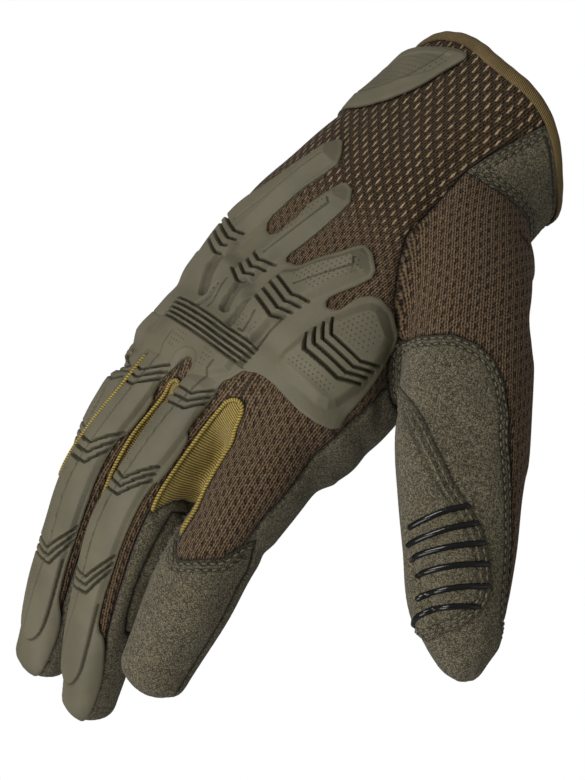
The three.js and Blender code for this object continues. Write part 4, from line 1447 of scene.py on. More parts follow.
# Stacks of chevron grooves across the bars: the first line and the last
CHEVRONS = [
    ([(-34, -73), (-25.5, -76), (-19.6, -77.7), (-16.6, -77)],
     [(-33, -82), (-24, -85), (-20.2, -86.2), (-18.2, -85.8)]),
    ([(-7.9, -79.6), (-2.3, -81.4), (3, -79.8)], [(-9.4, -87.7), (-4.3, -89.8), (-2, -89)]),
    ([(7.3, -82.2), (17, -84.4), (22.3, -83)], [(5, -90.2), (15.5, -92.8), (18.6, -91.3)]),
    ([(32, -82.6), (35, -86.6), (46, -86.6), (51.2, -83.4)],
     [(28.4, -90.6), (31.5, -94.2), (44, -94.2), (49.8, -91)]),
]
# Grooves: the width, the depth, how dark their painted shade is and how far their edge is from the middle
CHEVRON_GROOVE = (1.0, 1.8, 1.0, 0.4)
LINE_GROOVE = (0.7, 0.5, 0.65, 0.2)
# Narrow lines pressed into the bars
ENGRAVED = [
    [(-12.7, -43.5), (-15.5, -54), (-18.5, -63), (-23.2, -74.3)],
    [(4, -54.4), (5.4, -55.4), (2, -66), (-2.2, -78.4)],
    [(25.8, -64.8), (27.2, -66.6), (23, -72), (15.3, -81.3)],
    [(-8.3, -90.8), (-8, -101.2)],
    [(10, -94), (11.2, -101.4), (9.2, -101.4)],
    [(18.9, -90.5), (17.6, -96), (18, -102.6)],
    [(-22.5, -112), (-22, -119)],
]
# The ribbed band over the knuckles
BAND = (-24.5, 18.4, -102.9, -109.1)
BAND_RIDGES = 4
BAND_RISE = 2.3
BAND_DEPTH = 1.5
# Where the band's side and its grooves begin and end, and how wide the grooves are carved and painted with
# shade
BAND_SIDE = (-0.4, 0.5)
BAND_GROOVED = (-0.55, 0.1)
BAND_GROOVE = (0.7, 0.8)
# How dark the painted shade in the deepest grooves is
GROOVE_SHADE = 0.36
# The piping that lies over the ring finger's strip, on that finger's chart
RING_PIPING = [(40.5, -0.11), (51, -0.08), (57.5, -0.12), (64.5, -0.17), (72.5, -0.2), (84, -0.2)]
# Dotted fields on the bars
DOTTED = [
    [(34.5, -82), (39.8, -74.4), (42, -73.6), (46.4, -77.3), (46.2, -83.5), (44.8, -84.9), (36.2, -84.9)],
    [(31, -96), (43.6, -95.8), (45.3, -95), (45, -99.6), (43.6, -100.5), (30.4, -100.5), (29.4, -98.4)],
    [(20.4, -68), (25, -63.2), (27, -62.9), (30.2, -65.4), (28, -70), (25, -74.6), (21.8, -79.4),
     (13.5, -80.4), (10, -79.3), (13.4, -76.6)],
    [(-0.6, -58), (1.4, -53.4), (3.6, -50.6), (4.8, -51), (4.2, -54), (1, -65.5), (-3.4, -78), (-6.6, -78),
     (-3.8, -73), (-1, -65.5)],
    [(5.4, -94.8), (9, -95), (9, -101), (3.8, -101.6)],
    [(12.2, -95), (14.6, -95), (14, -101.5), (12.6, -101.5)],
    [(-11.6, -93), (-9.4, -91), (-9.2, -101.5), (-11.8, -101.5)],
    [(-12, -110.4), (-4.6, -110.4), (-4.6, -113.5), (-10, -117)],
    [(3.5, -110.4), (8.6, -110.4), (8, -117), (4.4, -115)],
]
# Strips over the fingers on each finger's chart, in millimetres along it and shares of half a turn: the
# outline, the raised middle, the ridge along it, the first and last line of each stack of chevron grooves,
# the lines pressed in and the dotted fields
STRIPS = {
    "middle": dict(
        outline=[
            (31, -0.13), (38, -0.19), (60, -0.19), (82, -0.17), (97, -0.17), (112, -0.18), (122, -0.22),
            (129, -0.30), (136, -0.36), (143, -0.38), (149, -0.36), (154, -0.2), (154, 0.12), (149, 0.3),
            (143, 0.36), (133, 0.38), (125, 0.35), (117.5, 0.31), (115, 0.235), (107.5, 0.22), (90, 0.235),
            (69.5, 0.225), (67.5, 0.27), (54.5, 0.26), (51.5, 0.19), (36.5, 0.195), (31, 0.12),
        ],
        top=[
            (28, -0.15), (60, -0.155), (112, -0.145), (128, -0.2), (134, -0.19), (137.4, -0.12),
            (138.6, -0.02), (137.4, 0.08), (134, 0.14), (129, 0.17), (120, 0.18), (107, 0.18), (90, 0.19),
            (72, 0.18), (56, 0.2), (44, 0.16), (32, 0.15),
        ],
        crest=[
            (28, 0.03), (43, 0.03), (50, 0), (59.5, 0), (70, -0.02), (78, -0.04), (95, -0.01), (106, 0),
            (124.5, -0.09), (134, -0.17),
        ],
        chevrons=[
            ([(36.8, 0.21), (43.2, 0.05), (44.2, -0.2)], [(41.4, 0.21), (47.8, 0.08), (50, -0.2)]),
            ([(64.5, 0.2), (72.6, -0.01), (72, -0.2)], [(68.7, 0.21), (76.6, 0.03), (77.6, -0.2)]),
            ([(91, 0.21), (101, 0.03), (101.5, -0.17)], [(95.4, 0.22), (105.2, 0.08), (107, -0.16)]),
        ],
        lines=[[(107, 0.2), (128, 0.19), (134, 0.15), (137.6, 0.07), (138, -0.05), (136, -0.14)]],
        dots=[
            [(52, -0.05), (70, -0.07), (70, -0.13), (52, -0.13)],
            [(79, -0.1), (99, -0.09), (99, -0.14), (79, -0.14)],
            [(109, -0.05), (126, -0.13), (109, -0.13)],
        ],
    ),
    "ring": dict(
        outline=[
            (30, -0.2), (38, -0.24), (60, -0.23), (70, -0.24), (90, -0.22), (108, -0.21), (118, -0.26),
            (126, -0.34), (133, -0.38), (142, -0.4), (149, -0.36), (153.5, -0.2), (153.5, 0.14), (149, 0.3),
            (142, 0.36), (131, 0.38), (123.5, 0.35), (119.5, 0.3), (116, 0.27), (102, 0.25), (84.5, 0.25),
            (75, 0.22), (63.5, 0.2), (61, 0.245), (49.5, 0.25), (46.5, 0.2), (38, 0.19), (31, 0.12),
        ],
        top=[
            (28, -0.18), (60, -0.17), (108, -0.16), (124, -0.19), (131, -0.16), (135.4, -0.08), (137, 0.03),
            (136, 0.13), (132.6, 0.2), (127, 0.22), (116, 0.22), (102, 0.2), (84, 0.2), (70, 0.17),
            (50, 0.19), (38, 0.15), (30, 0.14),
        ],
        crest=[
            (28, 0.04), (44, 0.035), (52, 0.04), (64, 0.02), (76.5, 0.01), (100.5, 0.06), (109.5, 0.06),
            (133.5, -0.01),
        ],
        chevrons=[
            ([(37, 0.19), (44.4, -0.01), (45, -0.21)], [(41.6, 0.2), (49, 0.02), (51, -0.21)]),
            ([(61, 0.22), (69.5, 0.02), (71, -0.2)], [(66.4, 0.22), (74.4, 0.08), (76.5, -0.2)]),
            ([(91.5, 0.24), (103.4, 0.05), (103.6, -0.17)], [(96.3, 0.25), (107.4, 0.12), (109, -0.17)]),
        ],
        lines=[[(104, 0.22), (120, 0.24), (130.5, 0.23), (136, 0.15), (137.6, 0.03), (135, -0.1)]],
        dots=[
            [(54, -0.07), (69, -0.1), (69, -0.14), (54, -0.14)],
            [(79, -0.07), (101, -0.03), (101, -0.11), (79, -0.12)],
            [(111, 0), (130, -0.06), (111, -0.11)],
        ],
    ),
    "pinky": dict(
        groove=0.5,
        outline=[
            (27, -0.27), (40, -0.27), (60, -0.25), (96, -0.24), (104, -0.30), (112, -0.36), (119, -0.34),
            (122, 0), (119, 0.34), (111, 0.34), (104, 0.26), (98, 0.2), (60, 0.19), (50, 0.22), (40, 0.24),
            (28, 0.24),
        ],
        top=[
            (26, -0.24), (60, -0.2), (96, -0.18), (106, -0.16), (112, -0.1), (113.5, 0), (112, 0.1),
            (106, 0.15), (60, 0.14), (28, 0.14),
        ],
        crest=[(26, 0), (54, -0.05), (113, 0.0)],
        chevrons=[
            ([(44, 0.18), (52, -0.05), (53, -0.24)], [(48.6, 0.19), (56.4, -0.02), (58, -0.24)]),
            ([(64, 0.19), (72, -0.03), (72.5, -0.23)], [(68.6, 0.19), (76.4, 0.0), (77, -0.23)]),
            ([(85, 0.19), (93, 0.0), (93.5, -0.2)], [(89.4, 0.19), (97.4, 0.03), (98, -0.2)]),
        ],
        lines=[[(60, -0.06), (70, -0.06)], [(78, -0.06), (91, -0.05)]],
        dots=[[(60, -0.08), (70, -0.08), (70, -0.14), (60, -0.14)]],
    ),
}
STRIP_RISE = 0.8
STRIP_BEVEL = 1.4
# The ridge along each strip's top: its height and how far its sides slope
CREST_RISE = 0.35
CREST_REACH = 6.5
# The strips' chevron grooves: the depth, where a strip doesn't give its own, and the width
STRIP_GROOVE = 1.1
STRIP_WIDTH = 0.85
# The strips keep to this share of half a turn on both sides, this close to the finger, and below this level
STRIP_SPREAD = 0.45
STRIP_REACH = 4
STRIPS_BELOW = -112


# Faces this close to a sharp line are halved, and a distance that counts as far from all of them
SHARP_REACH = 0.5
FAR = 9.0
# The guard's sides are crisp above these levels and soft below, its tops end at the next two, where the
# strips over the fingers begin
CRISP_SIDES = (-84, -76)
TOPS_END = (-122, -116)
STRIPS_BEGIN = (-121, -117)
SOFT_SIDE = 0.8
# How wide and deep the rim of a notch is, and how dark its painted shade is
NOTCH_RIM = (0.7, 0.25, 0.35)
# The groove that the piping lies in: its depth, and where its side begins and ends
PIPING_GROOVE = 1.9
PIPING_WALL = (0.5, 1.1)
# The guard lies thicker at the top of the fold between the ring and the little finger
FOLD_TOP = (-27, -124)
FOLD_SIZE = (4.5, 4)
FOLD_LIFT = 1.1
# Where the guard's edge is evened out by that fold: from and to, round the palm and along it
EVEN_ROUND = (-14, -20)
EVEN_ALONG = (-140, -133)
# How far a layer's edge is rounded down, and the least height that is left of it
EDGE_DROP = 0.3
THINNEST = 0.35
LIP_REACH = 3.0
# A groove's flat floor on both sides of its middle, and the edges of the dotted fields on bars and strips
GROOVE_FLOOR = 0.12
DOT_EDGE = 0.4
STRIP_DOT_EDGE = 0.3
SMOOTH_ANGLE = 38


class Relief:
    """A layer's height at a mesh's points, its carving, dots and painted shade, and the nearest sharp line.
    """

    def __init__(self, count):
        self.tops, self.carved, self.dots, self.dark = np.zeros((4, count))
        self.sharp = np.full(count, FAR)

    def note(self, gap):
        self.sharp = np.minimum(self.sharp, gap)

    def lift(self, height):
        self.tops = np.maximum(self.tops, height)

    def sink(self, depth, dark):
        self.carved = np.maximum(self.carved, depth)
        self.dark = np.maximum(self.dark, dark)

    def groove(self, gap, width, depth, dark, edge):
        self.sink(groove(gap, width, depth), groove(gap, width, dark))
        self.note(np.maximum(gap - edge, 0))

    def dot(self, share):
        self.dots = np.maximum(self.dots, share)


def soft_union(one, other, reach):
    """The larger of two fields, with the corner between them filled."""
    near = np.maximum(reach - np.abs(one - other), 0) / reach
    return np.maximum(one, other) + near * near * reach / 4


def guard_outline(reading):
    fields = [zone(reading, "palm", outline, 6.0) for outline in GUARD_OUTLINES.values()]
    fields += [zone(reading, name, rounded(strip["outline"], 1, True), 4.0) for name, strip in STRIPS.items()]
    union = fields[0]
    for field in fields[1:]:
        union = soft_union(union, field, GUARD_FILLET)
    return union


def between_lines(first, last, count):
    """Lines spaced evenly from the first to the last."""
    first, last = np.asarray(first, float), np.asarray(last, float)
    return [first + (last - first) * k / (count - 1) for k in range(count)]


def groove(gap, width, depth):
    return depth * (1 - slope(gap, GROOVE_FLOOR, width / 2 + GROOVE_FLOOR))


def raise_bars(relief, u, v):
    """The bars and plates on the back of the hand, with slanted sides and ends."""
    crisp = slope(v, *CRISP_SIDES)
    limits = [slope(line_gap(end, u, v), 0, wide) for end, wide in BAR_ENDS]
    limits += [slope(line_gap(line, u, v), *NOTCH_SLOPE) for line in NOTCHES]
    for bevel, outline, broad_line, broad in GUARD_TOPS.values():
        gap = inside_gap(outline, u, v)
        side = slope(gap, 0, bevel)
        relief.note(np.minimum(np.abs(gap), np.abs(gap - bevel)))
        if broad_line:
            aside = line_gap(broad_line, u, v)
            side = np.minimum(side, slope(aside, 0, broad))
            relief.note(np.where(gap > 0, np.abs(aside - broad), FAR))
        rise = ramp(gap, 0, bevel + SOFT_SIDE) * (1 - crisp) + side * crisp
        relief.lift(TOP_RISE * np.minimum.reduce([rise, *limits]))
    for end, wide in BAR_ENDS:
        relief.note(np.where(relief.tops > 0.3, np.abs(line_gap(end, u, v) - wide), FAR))


def carve_bars(relief, u, v):
    """Hollows, chevrons, narrow lines and dotted fields in the bars."""
    # The hollows and grooves are darkened with painted shade.
    for outline, depth in HOLLOWS:
        gap = inside_gap(outline, u, v, HOLLOW_CORNER)
        relief.sink(depth * slope(gap, 0, HOLLOW_WALL), HOLLOW_SHADE * ramp(gap, 0, HOLLOW_WALL))
        relief.note(np.minimum(np.abs(gap), np.abs(gap - HOLLOW_WALL)))
    for first, last in CHEVRONS:
        for line in between_lines(first, last, 4):
            relief.groove(line_gap(line, u, v), *CHEVRON_GROOVE)
    for line in ENGRAVED:
        relief.groove(line_gap(line, u, v), *LINE_GROOVE)
    for outline in DOTTED:
        relief.dot(ramp(inside_gap(outline, u, v), 0, DOT_EDGE))


def raise_band(relief, u, v):
    """The ribbed band over the knuckles, with painted shade in its grooves."""
    left, right, top, bottom = BAND
    inside = np.minimum(np.minimum(u - left, right - u), np.minimum(top - v, v - bottom))
    relief.lift(BAND_RISE * slope(inside, *BAND_SIDE))
    turns = (top - v) / (top - bottom) * BAND_RIDGES
    ridge = np.abs(turns - np.round(turns)) * (top - bottom) / BAND_RIDGES
    banded = slope(inside, *BAND_GROOVED)
    carved_width, dark_width = BAND_GROOVE
    relief.sink(banded * groove(ridge, carved_width, BAND_DEPTH), banded * groove(ridge, dark_width, 1.0))
    relief.note(np.where(inside > -0.8, 0, FAR))


def carve_notches(relief, u, v):
    """The rims of the notches between the fingers, sunk and painted with shade."""
    start, end = NOTCH_SLOPE
    width, depth, dark = NOTCH_RIM
    for line in NOTCHES:
        gap = line_gap(line, u, v)
        relief.note(np.minimum(np.abs(gap - start), np.abs(gap - end)))
        rim = groove(np.abs(gap - end), width, 1.0)
        relief.sink(depth * rim, dark * rim)


def shape_strip(relief, reading, name, begin):
    """The strip over one finger: a raised middle with a ridge, chevrons, lines and dotted fields."""
    strip = STRIPS[name]
    along, share, height = reading[name]
    own = (height < STRIP_REACH) & (np.abs(share) < STRIP_SPREAD) & (reading["palm"][1] < STRIPS_BELOW)
    side = share * SHARE_MM

    def on_chart(line):
        return np.asarray(line, float) * (1, SHARE_MM)

    gap = np.where(own, inside_gap(on_chart(rounded(strip["top"], 1, True)), along, side, 1.0), -FAR)
    aside = line_gap(on_chart(strip["crest"]), along, side)
    flat = slope(gap, 0, STRIP_BEVEL)
    crest = CREST_RISE * (1 - slope(aside, 0, CREST_REACH)) * flat
    relief.lift((STRIP_RISE * flat + crest) * begin)
    relief.note(np.where(own, np.minimum(np.abs(gap), np.abs(gap - STRIP_BEVEL)), FAR))
    relief.note(np.where(gap > 0, aside, FAR))
    # The chevron grooves and the lines are darkened with painted shade.
    _, _, dark, edge = CHEVRON_GROOVE
    for first, last in strip["chevrons"]:
        for line in between_lines(first, last, 3):
            gap = np.where(own, line_gap(on_chart(line), along, side), FAR)
            relief.groove(gap, STRIP_WIDTH, strip.get("groove", STRIP_GROOVE), dark, edge)
    for line in [*strip["lines"], strip["crest"]]:
        gap = np.where(own, line_gap(on_chart(rounded(line, 2)), along, side), FAR)
        relief.groove(gap, *LINE_GROOVE)
    for outline in strip["dots"]:
        spot = inside_gap(on_chart(outline), along, side)
        relief.dot(np.where(own, ramp(spot, 0, STRIP_DOT_EDGE), 0))


def guard_shape(reading):
    u, v, _ = reading["palm"]
    relief = Relief(len(u))
    raise_bars(relief, u, v)
    carve_bars(relief, u, v)
    raise_band(relief, u, v)
    carve_notches(relief, u, v)
    share = slope(v, *TOPS_END)
    relief.tops, relief.carved, relief.dark = relief.tops * share, relief.carved * share, relief.dark * share
    begin = 1 - slope(v, *STRIPS_BEGIN)
    for name in STRIPS:
        shape_strip(relief, reading, name, begin)
    close = (v < STRIPS_BELOW) & (np.abs(reading["ring"][2]) < STRIP_REACH)
    gap = np.where(close, line_gap(np.array(RING_PIPING) * (1, SHARE_MM), *reading.flat("ring")), FAR)
    relief.sink(PIPING_GROOVE * (1 - slope(gap, *PIPING_WALL)), 0)
    relief.note(np.abs(gap - sum(PIPING_WALL) / 2))
    return relief


def bonded_layer(name, shape, patch, nodes, material, base, under=-0.2, lip=0.45):
    """A layer on the cloth: a shaped top, a rim, and a plain underside at a height off the skin."""
    points, coarse = patch
    sharp = shape(Reading(points)).sharp
    sheet = np.hstack([points, normals_of(points, coarse)])
    sheet, faces = refine(sheet, coarse, sharp[coarse].min(1) < SHARP_REACH)
    low = sheet[: coarse.max() + 1]
    low = low[:, :3] + unit(low[:, 3:]) * under
    points, normals = sheet[:, :3], unit(sheet[:, 3:])
    reading = Reading(points)
    relief = shape(reading)
    floor = max(under, 0)
    gap = edge_distance(points, faces, LIP_REACH)
    lifted = base - (base - floor) * EDGE_DROP * (1 - slope(gap, 0, lip)) + relief.tops
    lifted = np.maximum(lifted - relief.carved, floor + THINNEST)
    around, level, _ = reading["palm"]
    lifted += FOLD_LIFT * bell(around - FOLD_TOP[0], FOLD_SIZE[0]) * bell(level - FOLD_TOP[1], FOLD_SIZE[1])
    count = len(points)
    i, j = open_edges(coarse).T
    walls = np.vstack([np.stack([j, i, i + count], -1), np.stack([j, i + count, j + count], -1)])
    all_points = np.vstack([points + normals * lifted[:, None], low])
    all_faces = np.vstack([faces, coarse[:, ::-1] + count, walls])
    uv = flat_chart(reading)
    uv = np.vstack([uv, uv[: len(low)]])
    pits = np.concatenate([relief.dots, np.zeros(len(low))])
    # Painted shade: darker in the grooves, hollows and rims, and along the pad's rows and edge.
    shade = np.concatenate([1 - (1 - GROOVE_SHADE) * relief.dark, np.ones(len(low))])
    obj = mesh_object(name, all_points, all_faces, uv, pits=pits, shade=shade)
    bpy.context.view_layer.objects.active = obj
    obj.select_set(True)
    bpy.ops.object.shade_smooth_by_angle(angle=radians(SMOOTH_ANGLE))
    obj.select_set(False)
    finish_piece(obj, material, nodes)


def at_fold(reading):
    """1 by the fold between the ring and the little finger, and 0 away from it."""
    around, level, _ = reading["palm"]
    return slope(around, *EVEN_ROUND) * slope(level, *EVEN_ALONG)


guard_patch = skin_patch(guard_outline, at_fold)
past_band = BAND[3] - 0.4 - Reading(guard_patch[0])["palm"][1]
finger_part, palm_part = cut(*guard_patch, past_band)
finger_nodes = ["finger_guard_middle", "finger_guard_ring", "finger_guard_pinky"]
bonded_layer("knuckle_guard_rubber", guard_shape, palm_part, ["knuckle_guard"], "moulded_rubber", GUARD_BASE)
bonded_layer("finger_guard_rubber", guard_shape, finger_part, finger_nodes, "moulded_rubber", GUARD_BASE)


# The strap and its tab

STRAP = [
    (-99, -4.5), (-99, -26.5), (-34, -26), (-27, -24.5), (-19, -21), (-16, -18), (-16, -4), (-30, -4),
]
TAB = [
    (-30, -2.5), (-22, -1.8), (-14, -1.5), (-5.5, -0.8), (-1.6, -0.9), (-0.6, -2), (-1.4, -4), (-3.4, -8),
    (-5.4, -12), (-8, -16), (-12, -20.3), (-17, -23.2), (-22, -25), (-30, -26),
]
TAB_FIELD = [
    (-28.4, -7), (-15, -4.4), (-4.6, -3.2), (-4.4, -5), (-6.4, -9), (-12, -13.6), (-19, -17.2),
    (-28.4, -19.4),
]
# The tab's broad slanted side: the border it runs along and its width
TAB_LOW_SIDE = [
    (-0.6, -2), (-3.4, -8), (-8, -16), (-12, -20.3), (-17, -23.2), (-22, -25), (-30, -26),
]
TAB_BEVEL = 4.6
STRAP_HEIGHT = 1.15
TAB_UNDER = 1.0
TAB_HEIGHT = 1.75
TAB_RISE = 1.2
# The strap's hem: how far it lies from the edge, its width and its depth
HEM = (1.6, 0.5, 0.25)
# The slanted border of the tab begins and ends at these distances from its edge
TAB_BORDER = (0.3, 1.6)
TAB_RECESS = 0.4
# The line beside the broad side: its distance, half its width, its depth and how dark its painted shade is
TAB_LINE = (0.9, 0.2, 0.3, 0.7)


def strap_shape(reading):
    u, v, _ = reading["palm"]
    relief = Relief(len(u))
    edge = inside_gap(STRAP, u, v)
    relief.sink(HEM[2] * bell(edge - HEM[0], HEM[1]), 0)
    relief.note(np.where(edge < 3, 0, FAR))
    return relief


def tab_shape(reading):
    u, v, _ = reading["palm"]
    relief = Relief(len(u))
    gap, field = inside_gap(TAB, u, v), inside_gap(TAB_FIELD, u, v)
    low_side = line_gap(TAB_LOW_SIDE, u, v)
    start, end = TAB_BORDER
    relief.lift(TAB_RISE * np.minimum(slope(gap, start, end), slope(low_side, start, TAB_BEVEL)))
    beside, half_width, depth, dark = TAB_LINE
    aside = np.abs(low_side - TAB_BEVEL - beside)
    line = groove(aside, 0.5, depth) * slope(gap, 1.2, 1.8)
    # The line beside the broad side is darkened: painted shade.
    relief.sink(np.maximum(TAB_RECESS * slope(field, 0, 0.5), line), line / depth * dark)
    relief.dot(ramp(field, 0.3, 0.8))
    lines = [gap - start, gap - end, low_side - TAB_BEVEL, field, np.maximum(aside - half_width, 0)]
    relief.note(np.where(gap > -1, np.minimum.reduce([np.abs(line) for line in lines]), FAR))
    return relief


strap_patch = skin_patch(lambda reading: zone(reading, "palm", STRAP, 8.0))
bonded_layer("wrist_strap_cloth", strap_shape, strap_patch, ["wrist_strap"], "strap_cloth", STRAP_HEIGHT)
tab_patch = skin_patch(lambda reading: zone(reading, "palm", TAB, 8.0))
bonded_layer(
    "strap_tab_rubber", tab_shape, tab_patch, ["strap_tab"], "moulded_rubber", TAB_HEIGHT, TAB_UNDER, lip=1.0
)

# The thumb's second layer and its grips

PAD_HEIGHT = 1.1
PAD_ROWS = (1.3, 3.0)
# Paths of the silicone bars on the thumb's chart: millimetres along, share of half a turn
THUMB_GRIPS = {
    "thumb_grip_1": [(119.9, 0.34), (117.6, 0.2), (115.6, 0.08), (114.6, -0.03)],
    "thumb_grip_2": [(124.9, 0.38), (122.4, 0.22), (120.2, 0.06), (119.3, -0.07)],
    "thumb_grip_3": [(129.4, 0.40), (127, 0.24), (125, 0.06), (124.2, -0.11)],
    "thumb_grip_4": [(133.8, 0.34), (131.6, 0.2), (129.8, 0.03), (129.3, -0.14)],
    "thumb_grip_5": [(139.4, 0.33), (137.2, 0.18), (135.4, 0.0), (135.2, -0.16)],
    "thumb_grip_6": [(146, 0.48), (143.6, 0.36), (141.6, 0.2), (140.6, 0.04), (141.2, -0.1)],
}
GRIP_WIDTH = 0.9
GRIP_RISE = 0.8
# Steps along a bar, sides of its section, and how many stations its ends narrow over
GRIP_STEP = 0.5
GRIP_SIDES = 10
GRIP_TAPER = 3
END_SIZE = 0.35


def steps_along(line):
    """How far each place of a line is from its start."""
    return np.concatenate([[0], np.cumsum(np.linalg.norm(np.diff(line, axis=0), axis=1))])


def walk(line, pitch, normals):
    """Places at an even pitch along a line, and the normals there."""
    far = steps_along(line)
    at = np.linspace(0, far[-1], max(int(far[-1] / pitch) + 1, 2))
    return [np.stack([np.interp(at, far, values[:, k]) for k in range(3)], -1) for values in (line, normals)]


def triangles_of(faces):
    return np.array([(face[0], face[k], face[k + 1]) for face in faces for k in range(1, len(face) - 1)])


def outward(points, faces):
    """The faces turned so that a closed mesh has its volume inside."""
    a, b, c = (points[faces[:, k]] for k in range(3))
    return faces if (a * np.cross(b, c)).sum() > 0 else faces[:, ::-1]


def sweep(line, normals, profile, taper):
    """A closed tube along a line: the profile's two columns run across the line and out of the surface."""
    way = unit(np.gradient(line, axis=0))
    normals = unit(normals - way * (normals * way).sum(1)[:, None])
    across = np.cross(way, normals)
    end = np.minimum(np.arange(len(line)), np.arange(len(line))[::-1])
    scale = np.sqrt(1 - (1 - np.clip((end + END_SIZE) / (taper + END_SIZE), 0, 1)) ** 2)
    rings = []
    for k, place in enumerate(line):
        rings.append(place + scale[k] * (profile[:, :1] * across[k] + profile[:, 1:] * normals[k]))
    points, faces = loft(rings)
    steps = steps_along(line)
    turns = np.linspace(0, 2 * pi * np.abs(profile).max(), len(profile), endpoint=False)
    uv = np.stack([np.tile(turns, len(line)), np.repeat(steps, len(profile))], -1)
    return points, outward(points, triangles_of(faces)), np.vstack([uv, [[0, steps[0]], [0, steps[-1]]]])


def round_profile(half_width, rise, sides):
    turn = np.arange(sides) / sides * 2 * pi
    return np.stack([np.cos(turn) * half_width, np.sin(turn) * rise], -1)


def settled_line(path, digit, height, pitch):
    """A path on a digit's chart with its corners rounded, moved onto the skin and lifted off it."""
    line = digits[digit].place(*rounded(path, 3).T, 0)
    found = [skin_tree.find(place)[1] for place in line]
    near, normals = skin_points[found], skin_normals[found]
    off = ((line - near) * normals).sum(1)[:, None]
    return walk(line - normals * (off - height), pitch, normals)


# Where the pad's stitch rows press in, how deep, and how dark the painted shade is on the rows and the pad's
# edge
ROW_PRESS = 0.25
PAD_ROW_SHADE = 0.7
PAD_EDGE_SHADE = 0.9


def pad_shape(reading):
    gap = inside_gap(np.array(THUMB_PAD) * (1, SHARE_MM), *reading.flat("thumb"))
    relief = Relief(len(gap))
    rows = sum(bell(gap - row, ROW_DARK) for row in PAD_ROWS)
    # Painted shade along the stitch rows and at the pad's edge.
    edge = PAD_EDGE_SHADE * (1 - ramp(gap, 0, 1.0))
    relief.sink(ROW_PRESS * rows, np.clip(edge + PAD_ROW_SHADE * rows, 0, 1))
    relief.note(np.where(gap < 4, 0, FAR))
    return relief


pad_patch = skin_patch(lambda reading: zone(reading, "thumb", THUMB_PAD, 6.0))
bonded_layer("thumb_pad_suede", pad_shape, pad_patch, ["thumb_pad"], "suede", PAD_HEIGHT, lip=0.8)
grip_profile = round_profile(GRIP_WIDTH, GRIP_RISE, GRIP_SIDES)
for node, path in THUMB_GRIPS.items():
    bar = sweep(*settled_line(path, "thumb", PAD_HEIGHT, GRIP_STEP), grip_profile, GRIP_TAPER)
    finish_piece(mesh_object(node + "_bar", *bar), "silicone", [node])

# The tape round the cuff

# The tape's section: palm level and height off the palm's chart
TAPE_SECTION = [
    (2.0, 0.1), (1.9, 0.6), (2.4, 0.95), (3.5, 1.05), (4.6, 0.95), (5.2, 0.4), (5.4, -0.6), (5.1, -1.5),
    (4.2, -2.1), (3.2, -2.3), (2.3, -2.2), (1.9, -1.9), (2.1, -1.45), (4.1, -1.4), (4.1, 0.05),
]
# How many sections the tape has, and the level at which its length is measured
TAPE_STATIONS = 190
TAPE_LEVEL = 3.0
# Puckers along the tape: height, how often and start
PUCKERS = [(0.07, 97, 0), (0.05, 61, 1)]


def cuff_tape():
    shares = np.arange(TAPE_STATIONS) / TAPE_STATIONS * 2 - 1
    around = shares * palm.half_girth(TAPE_LEVEL)
    pucker = sum(height * np.sin(shares * often + start) for height, often, start in PUCKERS)
    rings = []
    for level, height in TAPE_SECTION:
        levels = level + cuff_edge(around) - CUFF_EDGE
        rings.append(palm.place(around, levels, height + pucker - sunk("palm", around, levels)))
    count = len(TAPE_SECTION)
    points = np.array(rings).transpose(1, 0, 2).reshape(-1, 3)
    faces = []
    for i in range(TAPE_STATIONS):
        j = (i + 1) % TAPE_STATIONS
        for k in range(count):
            m = (k + 1) % count
            faces.append((i * count + k, i * count + m, j * count + m))
            faces.append((i * count + k, j * count + m, j * count + k))
    uv = np.stack([np.tile(steps_along(np.array(TAPE_SECTION)), TAPE_STATIONS), np.repeat(around, count)], -1)
    return points, outward(points, np.array(faces)), uv


plain_piece("cuff_tape", cuff_tape(), "tape", ["cuff_binding"])

# Stitches and piping

STITCH_PITCH = 2.5
STITCH_LENGTH = 1.9
STITCH_WIDTH = 0.3
STITCH_SIDES = 5
# How high a stitch lies over its row, as a share of its width, and over the pad
STITCH_OVER = 0.85
PAD_STITCH_OVER = 0.1
# The stitch rows' steps, and the rounds that even them out
ROW_STEP = 0.6
ROW_ROUNDS = 4


def stitch_shape():
    """One stitch: a small drop along its first axis."""
    turn = np.arange(STITCH_SIDES) / STITCH_SIDES * 2 * pi
    circle = np.array([np.cos(turn), np.sin(turn)])
    rings = []
    for t in np.linspace(-0.5, 0.5, 5)[1:-1]:
        around = circle * STITCH_WIDTH * (1 - t * t * 2)
        rings.append(np.stack([np.full(STITCH_SIDES, t * STITCH_LENGTH), *around], -1))
    points, faces = loft(rings)
    points[-2], points[-1] = (-STITCH_LENGTH / 2, 0, 0), (STITCH_LENGTH / 2, 0, 0)
    return points, outward(points, triangles_of(faces))


def stitched(lines):
    """Stitches along lines on the cloth, as one mesh."""
    shape, shape_faces = stitch_shape()
    points, faces = [], []
    for line, normals in lines:
        line, normals = walk(line, STITCH_PITCH, normals)
        if len(line) < 3:
            continue
        way = unit(np.gradient(line, axis=0))
        side = unit(np.cross(normals, way))
        out = np.cross(way, side)
        for k in range(len(line)):
            turned = shape[:, :1] * way[k] + shape[:, 1:2] * side[k] + shape[:, 2:] * out[k]
            faces.append(shape_faces + len(points) * len(shape))
            points.append(line[k] + turned)
    points, faces = np.vstack(points), np.vstack(faces)
    return points, faces, points[:, :2]


def split_line(line, normals, keep):
    """The stretches of a line whose places are kept."""
    out, start = [], None
    for k, kept in enumerate([*keep, False]):
        if kept and start is None:
            start = k
        elif not kept and start is not None:
            if k - start > 4:
                out.append((line[start:k], normals[start:k]))
            start = None
    return out


